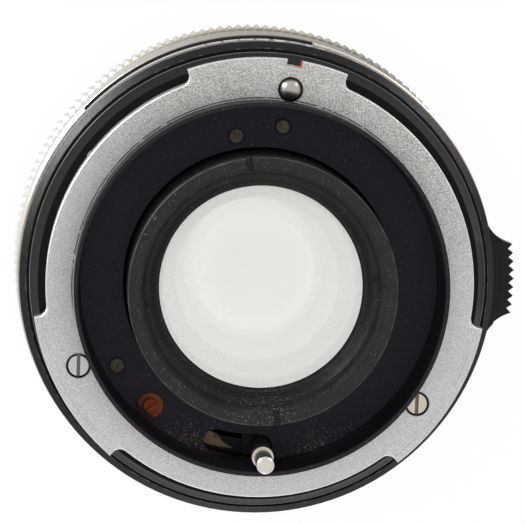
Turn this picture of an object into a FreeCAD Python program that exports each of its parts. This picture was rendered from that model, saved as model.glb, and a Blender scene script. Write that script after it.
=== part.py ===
"""Standard prime lens with a three-lug bayonet, in millimetres.

+Z runs along the optical axis from the front rim, at z = 0, to the rear mount.
The index notch points to +Y, and the tab of the aperture ring to +X.
"""
import FreeCAD, Part

import math
import os

from FreeCAD import Vector

os.makedirs("parts", exist_ok=True)

# Clearances
RUN = 0.05            # radial running clearance of a fit
FREE = 0.3            # space between neighbours that move past each other
TOUCH = 0.02          # space between seated pieces of one assembly
EDGE_BREAK = 0.15     # small chamfer of a turned edge
PAST = 1.0            # how far a cut runs past the face that it opens

# Steps of the rear mount along the optical axis
FLANGE_Z = 38.0       # front rim to the face that meets the camera body
MOUNT_T = 3.8         # flange face to the silver face of the mount ring
TUBE_OUT = 4.7        # silver face to the rim of the baffle tube
CELL_OUT = 1.5        # tube rim to the rear end of the rear cell
PIN_OUT = 4.7         # rear cell to the tip of the stop-down pin

# Mount ring with its lugs
COLLAR_WALL = 3.5
LUG_OUT = 1.7
LUG_T = 1.8
LUG_COUNT = 3
LUG_SPAN_ANGLE = 41.0
LUG_ANGLE = 88.0
LUG_ROOT = 3.0
LUG_FILLET = 1.2
NOTCH_W = 1.8
NOTCH_DEPTH = 0.7

# Fixings of the mount ring
FIX_OUT = 1.5
STUD_ANGLE = 81.3
MOUNT_SCREW_ANGLES = [203.5, 322.5]
FIX_HEAD_R = 1.42
FIX_HEAD_T = 1.05
FIX_SINK = 1.1
FIX_SINK_CLEAR = 0.1
FIX_SHANK_R = 0.85
FIX_LENGTH = 4.4
FIX_SLOT_ANGLE = 88.0
SLOT_W = 0.45
SLOT_DEPTH = 0.5
FINE_SLOT_W = 0.3
FINE_SLOT_DEPTH = 0.35
STUD_DOME = 1.0

# Baffle tube and baffle plate
PLATE_W = 5.2
TUBE_SHOULDER = 0.3
TUBE_FOOT_T = 0.3
TUBE_RELIEF_L = 0.8
TUBE_RELIEF_DEPTH = 0.3
TUBE_RIM_WALL = 0.55
TUBE_FLOOR_WALL = 0.9
TUBE_RIM_BREAK = 0.1
PLATE_T = 0.8
CELL_SPACE = 0.4
NECK_WALL = 1.05
NECK_L = 3.4
FLOOR_SCREW_HEAD_R = 0.85
FLOOR_SCREW_HEAD_T = 0.35
FLOOR_SCREW_R = 0.4
FLOOR_SCREW_L = 1.9
FLOOR_SCREW_OUT_IN = 1.8
FLOOR_SCREW_OUT_ANGLE = 210.0
FLOOR_SCREW_IN_OUT = 1.65
FLOOR_SCREW_IN_ANGLE = 98.7
FLOOR_SCREW_IN_L = 0.6
FLOOR_SCREW_TURN_ANGLE = 30.0
ADJUST_IN = 1.8
ADJUST_ANGLE = 228.4
ADJUST_TURN_ANGLE = 35.0
ADJUST_HEAD_R = 0.95
ADJUST_HEAD_T = 0.6
LACQUER_R = 1.6
LACQUER_T = 0.35

# Mount housing
HOUSING_T = 2.8
HOUSING_OVERHANG = 1.8
HOUSING_BEVEL = 1.1
HOUSING_EDGE_T = 1.0
HOUSING_WEB_T = 1.2
HOUSING_LIP = 0.45
HOUSING_WEB_CLEAR = 1.7
HOUSING_SCREW_IN = 1.2
HOUSING_SCREW_HEAD_R = 1.0
HOUSING_SCREW_HEAD_T = 0.8
HOUSING_SCREW_SHANK_R = 0.55
HOUSING_SCREW_L = 4.2
HOUSING_SCREW_ANGLES = [22.5, 142.5, 262.5]

# Fixed barrel
BARREL_WALL = 2.05
BARREL_START = 0.5
RIB_T = 0.4
RIB_CLEAR = 0.65

# Index ring and the strip in its window
INDEX_L = 3.3
INDEX_WALL = 3.4
WINDOW_START_ANGLE = 76.0
WINDOW_END_ANGLE = 135.5
WINDOW_DEPTH = 0.65
WINDOW_LIP = 0.45
SCALE_STRIP_T = 0.25
GRUB_R = 0.7
GRUB_SINK = 0.6
GRUB_RECESS = 0.15
INDEX_GRUB_ANGLES = [20.0, 170.0, 275.0]

# Aperture ring with its tab
APERTURE_L = 4.0
APERTURE_OVER = 0.4
APERTURE_STEP = 0.35
APERTURE_LAND_W = 0.1
APERTURE_BEVEL_H = 0.8
APERTURE_BODY_DROP = 0.6
TAB_ANGLE = -0.8
TAB_TOOTH_COUNT = 9
TAB_TOOTH_ANGLE = 1.93
TAB_OUT = 2.85
TAB_TOOTH_DEPTH = 0.65
TAB_ROOT_IN = 1.3
TAB_FLANK_OUT = 1.0
TAB_FLANK_MID_ANGLE = 2.4
TAB_FLANK_END_ANGLE = 6.4
TAB_DROP = 1.2
TAB_T = 2.5
TAB_PAD_OUT = 0.75
TAB_PAD_T = 0.8
APERTURE_TURN_ANGLE = 62.0
LINK_R = 0.3
LINK_HOLD = 0.8
LINK_SHORT = 0.35
LINK_DROP = 0.7
LINK_ANGLE = 30.0
CAM_T = 0.9
CAM_WALL = 2.0
CLICK_BALL_R = 0.55
CLICK_RISE = 1.0
CLICK_ANGLE = 150.0
CLICK_TRACK_DEPTH = 0.4
CLICK_TRACK_FLOOR = 0.4
CLICK_TRACK_MOUTH = 0.9
CLICK_BALL_OUT = 0.2
CLICK_SPRING_R = 0.4
CLICK_SPRING_WALL = 0.15
CLICK_POCKET_DEPTH = 1.65

# Focusing
GRIP_Z = 11.0
GRIP_WALL = 3.6
GRIP_COLLAR_L = 10.7
GRIP_COLLAR_STEP = 0.45
GRIP_GROOVE_W = 0.3
GRIP_GROOVE_DEPTH = 0.25
KNURL_DEPTH = 0.5
KNURL_COUNT = 160
KNURL_CHAMFER = 0.35
SPIGOT_WALL = 1.2
WEB_T = 2.7
WEB_CLEAR = 0.25
SCALE_RING_Z = 4.0
SCALE_RING_WALL = 1.5
SCALE_RING_BEVEL = 1.4
SCALE_RING_NOSE = 0.6
SCALE_RING_CLEAR = 0.4
SCALE_RING_GAP = 0.1
SCALE_GRUB_SINK = 1.5
SLEEVE_DROP = 2.2
SLEEVE_WALL = 2.55
SLEEVE_NECK_WALL = 1.65
SLEEVE_RIB_L = 5.0
RETAINER_T = 3.4
FOCUS_TURN_ANGLE = 220.0
FOCUS_TRAVEL = 6.2
GRIP_SCREW_IN = 0.95
GRIP_SCREW_HEAD_R = 0.6
GRIP_SCREW_HEAD_T = 0.5
GRIP_SCREW_SHANK_R = 0.35
GRIP_SCREW_L = 5.0
STOP_SCREW_R = 0.75
STOP_SCREW_DROP = 2.5
STOP_SCREW_ANGLE = 200.0
STOP_TRACK_DEPTH = 0.85
KEY_W = 2.3
KEY_L = 7.0
KEY_FOOT_T = 0.45
KEY_FOOT_CLEAR = 0.25
KEY_ANGLES = [0.0, 180.0]
KEY_CLEAR = 0.15

# Sliding half of the helicoid and the front rim
HELICOID_WALL = 1.9
HELICOID_DROP = 0.2
HELICOID_FLANGE_Z = 7.3
HELICOID_FLANGE_T = 0.8
HELICOID_FLANGE_IN = 0.3
BLOCK_WALL = 3.1
BLOCK_FLANGE_W = 1.5
BLOCK_FLANGE_T = 0.9
LOCK_T = 0.8
LOCK_W = 2.5
LOCK_CLEAR = 0.3
FILTER_STEP = 0.3
FILTER_WALL = 1.4
FILTER_THREAD_L = 4.4
FILTER_CHAMFER = 0.3
FILTER_SEAT_T = 1.2
FILTER_SCREW_IN = 1.6
FILTER_SCREW_SHANK_R = 0.5
FILTER_SCREW_HEAD_R = 1.0
FILTER_SCREW_HEAD_T = 0.5
NAME_RING_STEP = 0.5
NAME_RING_T = 0.7
NAME_RING_DISH = 0.5
NAME_TUBE_WALL = 0.6
NAME_TUBE_SPACE = 0.43

# Glass: vertex levels, radii of curvature and rim radii
FRONT_GLASS_Z = 7.3
FRONT_GLASS_T = 4.8
FRONT_GLASS_R = 16.3
FRONT_CURVE = 31.0
FRONT_BACK_CURVE = 84.0
AIR_GAP = 0.3
CROWN_T = 6.6
CROWN_CURVE = 20.7
FLINT_T = 2.0
FLINT_CURVE = 13.3
FRONT_DOUBLET_STEP = 2.5
FRONT_SEAT = 1.3
CROWN_SEAT = 0.6
STOP_SPACE = 12.6
STOP_STEP = 3.6
REAR_FLINT_CURVE = -15.6
REAR_FLINT_T = 2.0
REAR_CROWN_T = 5.8
REAR_CROWN_CURVE = -20.9
REAR_DOUBLET_STEP = 3.0
REAR_GLASS_T = 3.6
REAR_GLASS_STEP = 0.2
REAR_CURVE = 97.6
REAR_BACK_CURVE = -43.7
REAR_LAND = 0.5
SPACER_SEAT = 0.7

# Lens block and rear cell
NAME_TUBE_GAP = 1.3
FRONT_RING_T = 2.0
FRONT_RING_WALL = 1.8
CHAMBER_WALL = 1.75
IRIS_FLOOR_Z = 26.2
CELL_SPIGOT_WALL = 0.7
CELL_SPIGOT_L = 0.55
CELL_LAND = 0.4
CELL_THREAD_WALL = 1.25
CELL_WALL = 2.2
CELL_MOUTH_W = 0.55
CELL_SLOT_ANGLE = 96.0
CELL_SLOT_W = 0.75
CELL_SLOT_DEPTH = 0.8
RING_TOP_W = 0.45
RING_L = 3.0
RING_STEP_COUNT = 5
RING_STEP_FACE = 0.55
RING_NOTCH_W = 1.0
RING_NOTCH_DEPTH = 0.6

# Iris
BLADE_COUNT = 6
BLADE_T = 0.12
BLADE_PITCH = 0.2
BLADE_W = 5.85
BLADE_SPAN_ANGLE = 112.0
BLADE_IN = 1.3
BLADE_REST_GAP = 0.1
PIVOT_IN = 1.05
PIVOT_PIN_R = 0.4
EAR_R = 0.85
DRIVE_ANGLE = 12.0
BASE_LAND = 0.2
BASE_T = 0.4
ROTOR_T = 0.55
ROTOR_W = 3.3
ROTOR_CLEAR = 0.12
COVER_T = 0.6
COVER_GAP = 0.2
COVER_SCREW_IN = 0.85
COVER_SCREW_SHANK_R = 0.4
COVER_SCREW_HEAD_R = 0.65
COVER_SCREW_HEAD_T = 0.3
COVER_SCREW_L = 1.9
COVER_SCREW_ANGLES = [30.0, 150.0, 240.0]
BLADE_SWING_ANGLE = 30.0
SLOT_CLEAR = 0.08
SLOT_SPARE_SHARE = 0.04
ROTOR_TAB_R = 0.75

# Stop-down ring, its pin and its spring
STOP_DOWN_ANGLE = 15.0
PIN_IN = 2.5
PIN_ANGLE = 270.0
PIN_TIP_R = 1.1
PIN_SHOULDER_R = 1.35
PIN_SHOULDER_L = 10.3
PIN_POINT = 0.2
SLOT_HALF_W = 1.55
SLOT_OVERRUN = 0.1
LEVER_T = 1.0
LEVER_GAP = 0.2
LEVER_WALL = 0.85
LEVER_ARM_W = 4.2
LEVER_ROOT = 0.6
LEVER_ARM_OUT = 1.5
LEVER_RETAINER_T = 0.6
LEVER_RETAINER_GAP = 0.1
LEVER_RETAINER_W = 0.7
POST_R = 0.4
POST_IN = 0.8
POST_ANGLE = 315.0
PRONG_W = 0.8
PRONG_HALF_L = 0.5
PRONG_HOLD = 0.9
HOOK_ANGLE = 40.0
HOOK_R = 0.35
HOOK_OUT = 0.3
ANCHOR_ANGLE = 81.4
ANCHOR_OUT = 0.55
ANCHOR_SHANK_R = 0.35
ANCHOR_HEAD_R = 0.8
SPRING_R = 0.75
SPRING_WIRE_R = 0.12
SPRING_END = 1.6
SPRING_DROP = 1.9
HOOK_END = 0.7

# Radii that follow, from the glass outwards
NAME_TUBE_R = FRONT_GLASS_R + NAME_TUBE_GAP
BLOCK_R = NAME_TUBE_R + BLOCK_WALL
BLOCK_FLANGE_R = BLOCK_R + BLOCK_FLANGE_W
LOCK_BORE = BLOCK_R + LOCK_CLEAR
LOCK_R = LOCK_BORE + LOCK_W
CHAMBER_R = BLOCK_R - CHAMBER_WALL
HELICOID_R = BLOCK_R + HELICOID_WALL
SLEEVE_BORE = HELICOID_R + RUN
SLEEVE_NECK_R = SLEEVE_BORE + SLEEVE_NECK_WALL
WEB_BORE = SLEEVE_BORE + WEB_CLEAR
RIB_BORE = SLEEVE_BORE + RIB_CLEAR
GRIP_SCREW_R = SLEEVE_BORE + GRIP_SCREW_IN
BARREL_BORE = SLEEVE_BORE + SLEEVE_WALL + RUN
KEY_FOOT_R = BARREL_BORE - KEY_FOOT_CLEAR
BARREL_R = BARREL_BORE + BARREL_WALL
GRIP_CLEAR_BORE = BARREL_R + FREE
KNURL_R = GRIP_CLEAR_BORE + GRIP_WALL
GRIP_COLLAR_R = KNURL_R - GRIP_COLLAR_STEP
SPIGOT_R = GRIP_CLEAR_BORE + SPIGOT_WALL
SCALE_RING_R = SPIGOT_R + SCALE_RING_WALL
FILTER_R = SPIGOT_R - FILTER_STEP
FILTER_THREAD_R = FILTER_R - FILTER_WALL
NAME_RING_R = FILTER_THREAD_R - NAME_RING_STEP
HELICOID_FLANGE_R = FILTER_THREAD_R - HELICOID_FLANGE_IN
FILTER_SCREW_R = HELICOID_FLANGE_R - FILTER_SCREW_IN
INDEX_R = BARREL_R + INDEX_WALL
APERTURE_R = INDEX_R - APERTURE_STEP
HOUSING_R = BARREL_R + HOUSING_OVERHANG
HOUSING_TOP_R = HOUSING_R - HOUSING_BEVEL
HOUSING_BORE = BARREL_BORE - HOUSING_LIP
HOUSING_SCREW_R = BARREL_R - HOUSING_SCREW_IN
TAB_TIP_R = APERTURE_R + TAB_OUT
TAB_ROOT_R = APERTURE_R - TAB_ROOT_IN
TAB_FLANK_MID_R = APERTURE_R + TAB_FLANK_OUT
TAB_PAD_R = APERTURE_R + TAB_PAD_OUT
CAM_BORE = BARREL_BORE - RUN - CAM_WALL
LINK_INNER_R = CAM_BORE + LINK_HOLD
LINK_OUTER_R = HOUSING_R - LINK_SHORT
CLICK_POCKET_FLOOR = BARREL_R - CLICK_POCKET_DEPTH

# Radii of the glass, the iris and the rear cell
FRONT_DOUBLET_R = FRONT_GLASS_R - FRONT_DOUBLET_STEP
STOP_CLEAR_R = FRONT_DOUBLET_R - STOP_STEP
REAR_DOUBLET_R = STOP_CLEAR_R + REAR_DOUBLET_STEP
REAR_GLASS_R = REAR_DOUBLET_R + REAR_GLASS_STEP
REAR_CLEAR_R = REAR_GLASS_R - REAR_LAND
CELL_SPIGOT_R = REAR_DOUBLET_R + CELL_SPIGOT_WALL
CELL_FRONT_BORE = STOP_CLEAR_R + CELL_LAND
CELL_THREAD_R = REAR_GLASS_R + CELL_THREAD_WALL
CELL_MOUTH_R = CELL_THREAD_R + CELL_MOUTH_W
CELL_R = CELL_THREAD_R + CELL_WALL
RING_TOP_R = CELL_THREAD_R - RING_TOP_W
PIVOT_R = CHAMBER_R - PIVOT_IN
BLADE_OUTER_R = PIVOT_R - BLADE_IN
BLADE_INNER_R = BLADE_OUTER_R - BLADE_W
ROTOR_BORE = PIVOT_R - ROTOR_W
BASE_BORE = STOP_CLEAR_R + BASE_LAND
COVER_SCREW_R = BLOCK_R - COVER_SCREW_IN
POST_CIRCLE_R = BLOCK_R - POST_IN
PRONG_INNER_R = POST_CIRCLE_R - PRONG_HALF_L
PRONG_OUTER_R = POST_CIRCLE_R + PRONG_HALF_L

# Radii of the mount and the stop-down ring
NECK_BORE = CELL_R + CELL_SPACE
NECK_R = NECK_BORE + NECK_WALL
HOUSING_WEB_BORE = NECK_R + HOUSING_WEB_CLEAR
LEVER_RING_R = NECK_R + RUN + LEVER_WALL
LEVER_RETAINER_R = NECK_R + LEVER_RETAINER_W
HOOK_CIRCLE_R = LEVER_RING_R + HOOK_OUT
ANCHOR_CIRCLE_R = HOOK_CIRCLE_R + ANCHOR_OUT
TUBE_R = NECK_R + PLATE_W
TUBE_SEAT_R = TUBE_R - TUBE_SHOULDER
TUBE_RIM_BORE = TUBE_R - TUBE_RIM_WALL
TUBE_FLOOR_BORE = TUBE_R - TUBE_FLOOR_WALL
FLOOR_SCREW_OUT_R = TUBE_FLOOR_BORE - FLOOR_SCREW_OUT_IN
FLOOR_SCREW_IN_R = NECK_BORE + FLOOR_SCREW_IN_OUT
ADJUST_R = TUBE_FLOOR_BORE - ADJUST_IN
PIN_CIRCLE_R = TUBE_R - PIN_IN
LEVER_ARM_END_R = PIN_CIRCLE_R + LEVER_ARM_OUT
COLLAR_R = TUBE_R + COLLAR_WALL
LUG_R = COLLAR_R + LUG_OUT
FIX_R = TUBE_R + FIX_OUT
FIX_BORE = FIX_HEAD_R + FIX_SINK_CLEAR
FLOOR_SCREWS = [(FLOOR_SCREW_IN_R, FLOOR_SCREW_IN_ANGLE, FLOOR_SCREW_IN_L),
                (FLOOR_SCREW_OUT_R, FLOOR_SCREW_OUT_ANGLE, FLOOR_SCREW_L)]

# Levels that follow, from the flange face
MOUNT_FACE_Z = FLANGE_Z + MOUNT_T
RIM_Z = MOUNT_FACE_Z + TUBE_OUT
CELL_Z = RIM_Z + CELL_OUT
PIN_TIP_Z = CELL_Z + PIN_OUT
PLATE_TOP_Z = FLANGE_Z + PLATE_T
NECK_Z = FLANGE_Z - NECK_L
WEB_UNDER_Z = FLANGE_Z - HOUSING_WEB_T
LEVER_TOP_Z = WEB_UNDER_Z - LEVER_GAP
LEVER_Z = LEVER_TOP_Z - LEVER_T
PIN_SHOULDER_Z = LEVER_TOP_Z + PIN_SHOULDER_L
SPRING_Z = LEVER_Z - SPRING_DROP
BARREL_TOP_Z = FLANGE_Z - HOUSING_T
APERTURE_TOP_Z = BARREL_TOP_Z + APERTURE_OVER
APERTURE_Z = APERTURE_TOP_Z - APERTURE_L
TAB_Z = APERTURE_Z - TAB_DROP
TAB_TOP_Z = TAB_Z + TAB_T
TAB_PAD_TOP_Z = TAB_TOP_Z + TAB_PAD_T
LINK_Z = BARREL_TOP_Z - LINK_DROP
CLICK_Z = APERTURE_Z + CLICK_RISE
INDEX_TOP_Z = APERTURE_Z - FREE
INDEX_Z = INDEX_TOP_Z - INDEX_L
GRIP_TOP_Z = INDEX_Z - FREE
KNURL_TOP_Z = GRIP_TOP_Z - GRIP_COLLAR_L
SLEEVE_TOP_Z = BARREL_TOP_Z - SLEEVE_DROP
STOP_SCREW_Z = SLEEVE_TOP_Z - STOP_SCREW_DROP
RIB_Z = SLEEVE_TOP_Z + RUN
KEY_FOOT_Z = RIB_Z + RIB_T
KEY_Z = SLEEVE_TOP_Z - KEY_L
KEY_SLOT_Z = KEY_Z - FREE
HELICOID_TOP_Z = BARREL_TOP_Z - HELICOID_DROP

# Levels that follow, from the front rim
FILTER_WALL_Z = FILTER_THREAD_L + FILTER_SEAT_T
BLOCK_Z = HELICOID_FLANGE_Z - BLOCK_FLANGE_T
GRIP_WEB_Z = GRIP_Z - WEB_T
BARREL_Z = GRIP_Z + BARREL_START
BASE_TOP_Z = IRIS_FLOOR_Z + BASE_T
BLADES_Z = BASE_TOP_Z + BLADE_REST_GAP
ROTOR_Z = BLADES_Z + (BLADE_COUNT - 1) * BLADE_PITCH + BLADE_T + ROTOR_CLEAR
ROTOR_TOP_Z = ROTOR_Z + ROTOR_T
COVER_Z = ROTOR_TOP_Z + COVER_GAP
COVER_TOP_Z = COVER_Z + COVER_T


def sag(curve, r):
    """Depth of a spherical surface at radius r, positive towards the rear for a positive curvature."""
    if curve == 0:
        return 0.0
    return curve - math.copysign(math.sqrt(curve * curve - r * r), curve)


# Vertex levels of the glass, front to rear
CROWN_Z = FRONT_GLASS_Z + FRONT_GLASS_T + AIR_GAP
FLINT_Z = CROWN_Z + CROWN_T
FLINT_BACK_Z = FLINT_Z + FLINT_T
REAR_FLINT_Z = FLINT_BACK_Z + STOP_SPACE
REAR_CROWN_Z = REAR_FLINT_Z + REAR_FLINT_T
REAR_CROWN_BACK_Z = REAR_CROWN_Z + REAR_CROWN_T
REAR_GLASS_Z = REAR_CROWN_BACK_Z + AIR_GAP
REAR_GLASS_BACK_Z = REAR_GLASS_Z + REAR_GLASS_T

# Rim levels of the glass
FRONT_RIM_Z = FRONT_GLASS_Z + sag(FRONT_CURVE, FRONT_GLASS_R)
NAME_TUBE_Z = FRONT_RIM_Z - FRONT_RING_T - NAME_TUBE_SPACE
FRONT_BACK_RIM_Z = FRONT_GLASS_Z + FRONT_GLASS_T + sag(FRONT_BACK_CURVE, FRONT_GLASS_R)
CROWN_SEAT_Z = CROWN_Z + sag(CROWN_CURVE, FRONT_DOUBLET_R - CROWN_SEAT) - RUN
FLINT_RIM_Z = FLINT_BACK_Z + sag(FLINT_CURVE, STOP_CLEAR_R)
REAR_FLINT_RIM_Z = REAR_FLINT_Z + sag(REAR_FLINT_CURVE, STOP_CLEAR_R)
REAR_CROWN_RIM_Z = REAR_CROWN_BACK_Z + sag(REAR_CROWN_CURVE, REAR_DOUBLET_R)
REAR_FRONT_RIM_Z = REAR_GLASS_Z + sag(REAR_CURVE, REAR_GLASS_R)
REAR_BACK_RIM_Z = REAR_GLASS_BACK_Z + sag(REAR_BACK_CURVE, REAR_GLASS_R)


def at(r, angle, z=0.0):
    """Point at a radius and an angle round the optical axis."""
    a = math.radians(angle)
    return Vector(r * math.cos(a), r * math.sin(a), z)


def about_axis(point, angle):
    """Point turned round the optical axis."""
    across = Vector(-point.y, point.x, 0)
    a = math.radians(angle)
    return point * math.cos(a) + across * math.sin(a)


def turned(profile, start=0.0, sweep=360.0):
    """Solid of revolution of a closed (radius, level) outline."""
    points = [Vector(r, 0, z) for r, z in profile]
    solid = Part.Face(Part.makePolygon(points + points[:1])).revolve(Vector(), Vector(0, 0, 1), sweep)
    solid.rotate(Vector(), Vector(0, 0, 1), start)
    return solid


def ring(inner, outer, low, high, start=0.0, sweep=360.0):
    return turned([(inner, low), (outer, low), (outer, high), (inner, high)], start, sweep)


def disc(radius, low, high, centre=Vector()):
    return Part.makeCylinder(radius, high - low, centre + Vector(0, 0, low))


def broken_disc(radius, low, high, centre):
    """Disc whose upper edge has a small chamfer."""
    step = high - EDGE_BREAK
    cone = Part.makeCone(radius, radius - EDGE_BREAK, EDGE_BREAK, centre + Vector(0, 0, step))
    return disc(radius, low, step, centre).fuse(cone).removeSplitter()


def radial_rod(radius, inner, outer, angle, level):
    """Rod that points out from the optical axis."""
    start = at(inner, angle, level)
    return Part.makeCylinder(radius, outer - inner, start, at(1, angle))


def radial_block(inner, outer, width, low, high, angle):
    """Block of even width whose middle line points out from the optical axis."""
    block = Part.makeBox(outer - inner, width, high - low, Vector(inner, -width / 2, low))
    block.rotate(Vector(), Vector(0, 0, 1), angle)
    return block


def slot_along(first, middle, last, half_width, low, high):
    """Slot of even width along the arc through three points, with round ends."""
    centre = Part.Arc(first, middle, last).toShape().Curve.Center

    def moved(point, side):
        out = (point - centre).normalize()
        return point + out * (side * half_width)

    def end_cap(point, neighbour):
        out = (point - centre).normalize()
        along = Vector(-out.y, out.x, 0)
        if along.dot(point - neighbour) < 0:
            along = along * -1
        return point + along * half_width

    edges = [Part.Arc(moved(first, 1), moved(middle, 1), moved(last, 1)).toShape(),
             Part.Arc(moved(last, 1), end_cap(last, middle), moved(last, -1)).toShape(),
             Part.Arc(moved(last, -1), moved(middle, -1), moved(first, -1)).toShape(),
             Part.Arc(moved(first, -1), end_cap(first, middle), moved(first, 1)).toShape()]
    slot = Part.Face(Part.Wire(edges)).extrude(Vector(0, 0, high - low))
    slot.translate(Vector(0, 0, low))
    return slot


def round_slot(radius, start, end, half_width, low, high):
    """Slot concentric with the optical axis."""
    middle = at(radius, (start + end) / 2)
    return slot_along(at(radius, start), middle, at(radius, end), half_width, low, high)


def screw_slot(centre, width, reach, top, depth, angle):
    """Straight cut across a screw head."""
    cut = Part.makeBox(2 * reach, width, depth, Vector(-reach, -width / 2, top - depth))
    cut.rotate(Vector(), Vector(0, 0, 1), angle)
    cut.translate(centre)
    return cut


def glass(radius, front, rear):
    """Glass element between two surfaces, each given as (vertex level, curvature, clear radius)."""
    front_z, front_curve, front_clear = front
    rear_z, rear_curve, rear_clear = rear
    front_rim = front_z + sag(front_curve, front_clear)
    rear_rim = rear_z + sag(rear_curve, rear_clear)

    def surface(level, curve, clear):
        ends = Vector(0, 0, level), Vector(clear, 0, level + sag(curve, clear))
        if curve == 0:
            return Part.LineSegment(*ends).toShape()
        half = clear / 2
        return Part.Arc(ends[0], Vector(half, 0, level + sag(curve, half)), ends[1]).toShape()

    corners = [Vector(front_clear, 0, front_rim), Vector(radius, 0, front_rim),
               Vector(radius, 0, rear_rim), Vector(rear_clear, 0, rear_rim)]
    edges = [surface(front_z, front_curve, front_clear)]
    edges += [Part.LineSegment(a, b).toShape() for a, b in zip(corners,
                                                               corners[1:]) if (a - b).Length > 1e-6]
    edges += [surface(rear_z, rear_curve, rear_clear),
              Part.LineSegment(Vector(0, 0, rear_z), Vector(0, 0, front_z)).toShape()]
    face = Part.Face(Part.Wire(Part.__sortEdges__(edges)))
    return face.revolve(Vector(), Vector(0, 0, 1), 360)


def save(name, shape):
    """Write one node; a list of solids is written as a group."""
    if isinstance(shape, list):
        shape = Part.makeCompound(shape)
    volume = sum(solid.Volume for solid in shape.Solids)
    valid = all(solid.isValid() for solid in shape.Solids)
    print(f"{name:24s} {len(shape.Solids):3d} solids  {volume:10.2f} mm3  valid {valid}")
    shape.exportStep("parts/" + name + ".step")


# Mount ring: turned collar with three lugs, index notch and counterbores for its fixings
def mount_ring():
    lug_z = MOUNT_FACE_Z - LUG_T
    lug_plate = disc(COLLAR_R, lug_z, MOUNT_FACE_Z)
    for k in range(LUG_COUNT):
        start = LUG_ANGLE + k * 360 / LUG_COUNT - LUG_SPAN_ANGLE / 2
        lug_plate = lug_plate.fuse(ring(COLLAR_R - LUG_ROOT, LUG_R, lug_z, MOUNT_FACE_Z, start,
                                        LUG_SPAN_ANGLE))
    lug_plate = lug_plate.removeSplitter()
    corners = []
    for edge in lug_plate.Edges:
        ends = [vertex.Point for vertex in edge.Vertexes]
        upright = len(ends) == 2 and abs(ends[0].z - ends[1].z) > LUG_T / 2
        if upright and abs(math.hypot(ends[0].x, ends[0].y) - COLLAR_R) < 0.01:
            corners.append(edge)
    lug_plate = lug_plate.makeFillet(LUG_FILLET, corners)
    outline = [edge for edge in lug_plate.Edges if edge.BoundBox.ZMin > MOUNT_FACE_Z - TOUCH]
    lug_plate = lug_plate.makeChamfer(EDGE_BREAK, outline)
    body = lug_plate.fuse(disc(COLLAR_R, FLANGE_Z, lug_z)).removeSplitter()
    body = body.cut(disc(TUBE_SEAT_R, FLANGE_Z - PAST, MOUNT_FACE_Z + PAST))
    notch_r = LUG_R - NOTCH_DEPTH
    body = body.cut(radial_block(notch_r, LUG_R + PAST, NOTCH_W, lug_z - PAST, MOUNT_FACE_Z + PAST,
                                 STUD_ANGLE))
    for angle in [STUD_ANGLE] + MOUNT_SCREW_ANGLES:
        centre = at(FIX_R, angle)
        body = body.cut(disc(FIX_BORE, MOUNT_FACE_Z - FIX_SINK, MOUNT_FACE_Z + PAST, centre))
        body = body.cut(disc(FIX_SHANK_R, FLANGE_Z - PAST, MOUNT_FACE_Z, centre))
    for angle in HOUSING_SCREW_ANGLES:
        centre = at(HOUSING_SCREW_R, angle)
        body = body.cut(disc(HOUSING_SCREW_HEAD_R + TOUCH, FLANGE_Z - PAST, FLANGE_Z + TOUCH, centre))
    return body


def fixing(centre, domed):
    """Screw or stud of the mount ring, seated in its counterbore."""
    seat = MOUNT_FACE_Z - FIX_SINK
    top = seat + FIX_HEAD_T
    shank = disc(FIX_SHANK_R, seat - FIX_LENGTH, seat, centre)
    if domed:
        ball_r = (FIX_HEAD_R ** 2 + STUD_DOME ** 2) / (2 * STUD_DOME)
        ball = Part.makeSphere(ball_r, centre + Vector(0, 0, top + STUD_DOME - ball_r))
        dome = ball.common(disc(FIX_HEAD_R, seat, top + STUD_DOME + PAST, centre))
        return shank.fuse([disc(FIX_HEAD_R, seat, top, centre), dome]).removeSplitter()
    return shank.fuse(broken_disc(FIX_HEAD_R, seat, top, centre))


def mount_screws():
    screws = []
    top = MOUNT_FACE_Z - FIX_SINK + FIX_HEAD_T
    for angle in MOUNT_SCREW_ANGLES:
        centre = at(FIX_R, angle)
        screws.append(fixing(centre, False).cut(screw_slot(centre, SLOT_W, FIX_HEAD_R, top, SLOT_DEPTH,
                                                           FIX_SLOT_ANGLE)))
    return screws


def locating_stud():
    return fixing(at(FIX_R, STUD_ANGLE), True)


# Baffle tube: thin turned tube that sits in the mount ring, with a grooved foot on the silver face
def baffle_tube():
    inner = TUBE_RIM_BORE + TUBE_RIM_BREAK
    relief_r = TUBE_R - TUBE_RELIEF_DEPTH
    foot_z = MOUNT_FACE_Z + TUBE_FOOT_T
    wall_z = foot_z + TUBE_RELIEF_L
    return turned([(TUBE_FLOOR_BORE, FLANGE_Z), (TUBE_SEAT_R, FLANGE_Z), (TUBE_SEAT_R, MOUNT_FACE_Z),
                   (TUBE_R, MOUNT_FACE_Z), (TUBE_R, foot_z), (relief_r, foot_z), (relief_r, wall_z),
                   (TUBE_R, wall_z), (TUBE_R, RIM_Z), (inner, RIM_Z),
                   (TUBE_RIM_BORE, RIM_Z - TUBE_RIM_BREAK), (TUBE_FLOOR_BORE, PLATE_TOP_Z)])


def pin_slot(half_width, low, high):
    """Curved slot for the travel of the stop-down pin."""
    over = math.degrees(SLOT_OVERRUN / PIN_CIRCLE_R)
    start = PIN_ANGLE - STOP_DOWN_ANGLE - over
    return round_slot(PIN_CIRCLE_R, start, PIN_ANGLE + over, half_width, low, high)


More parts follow.
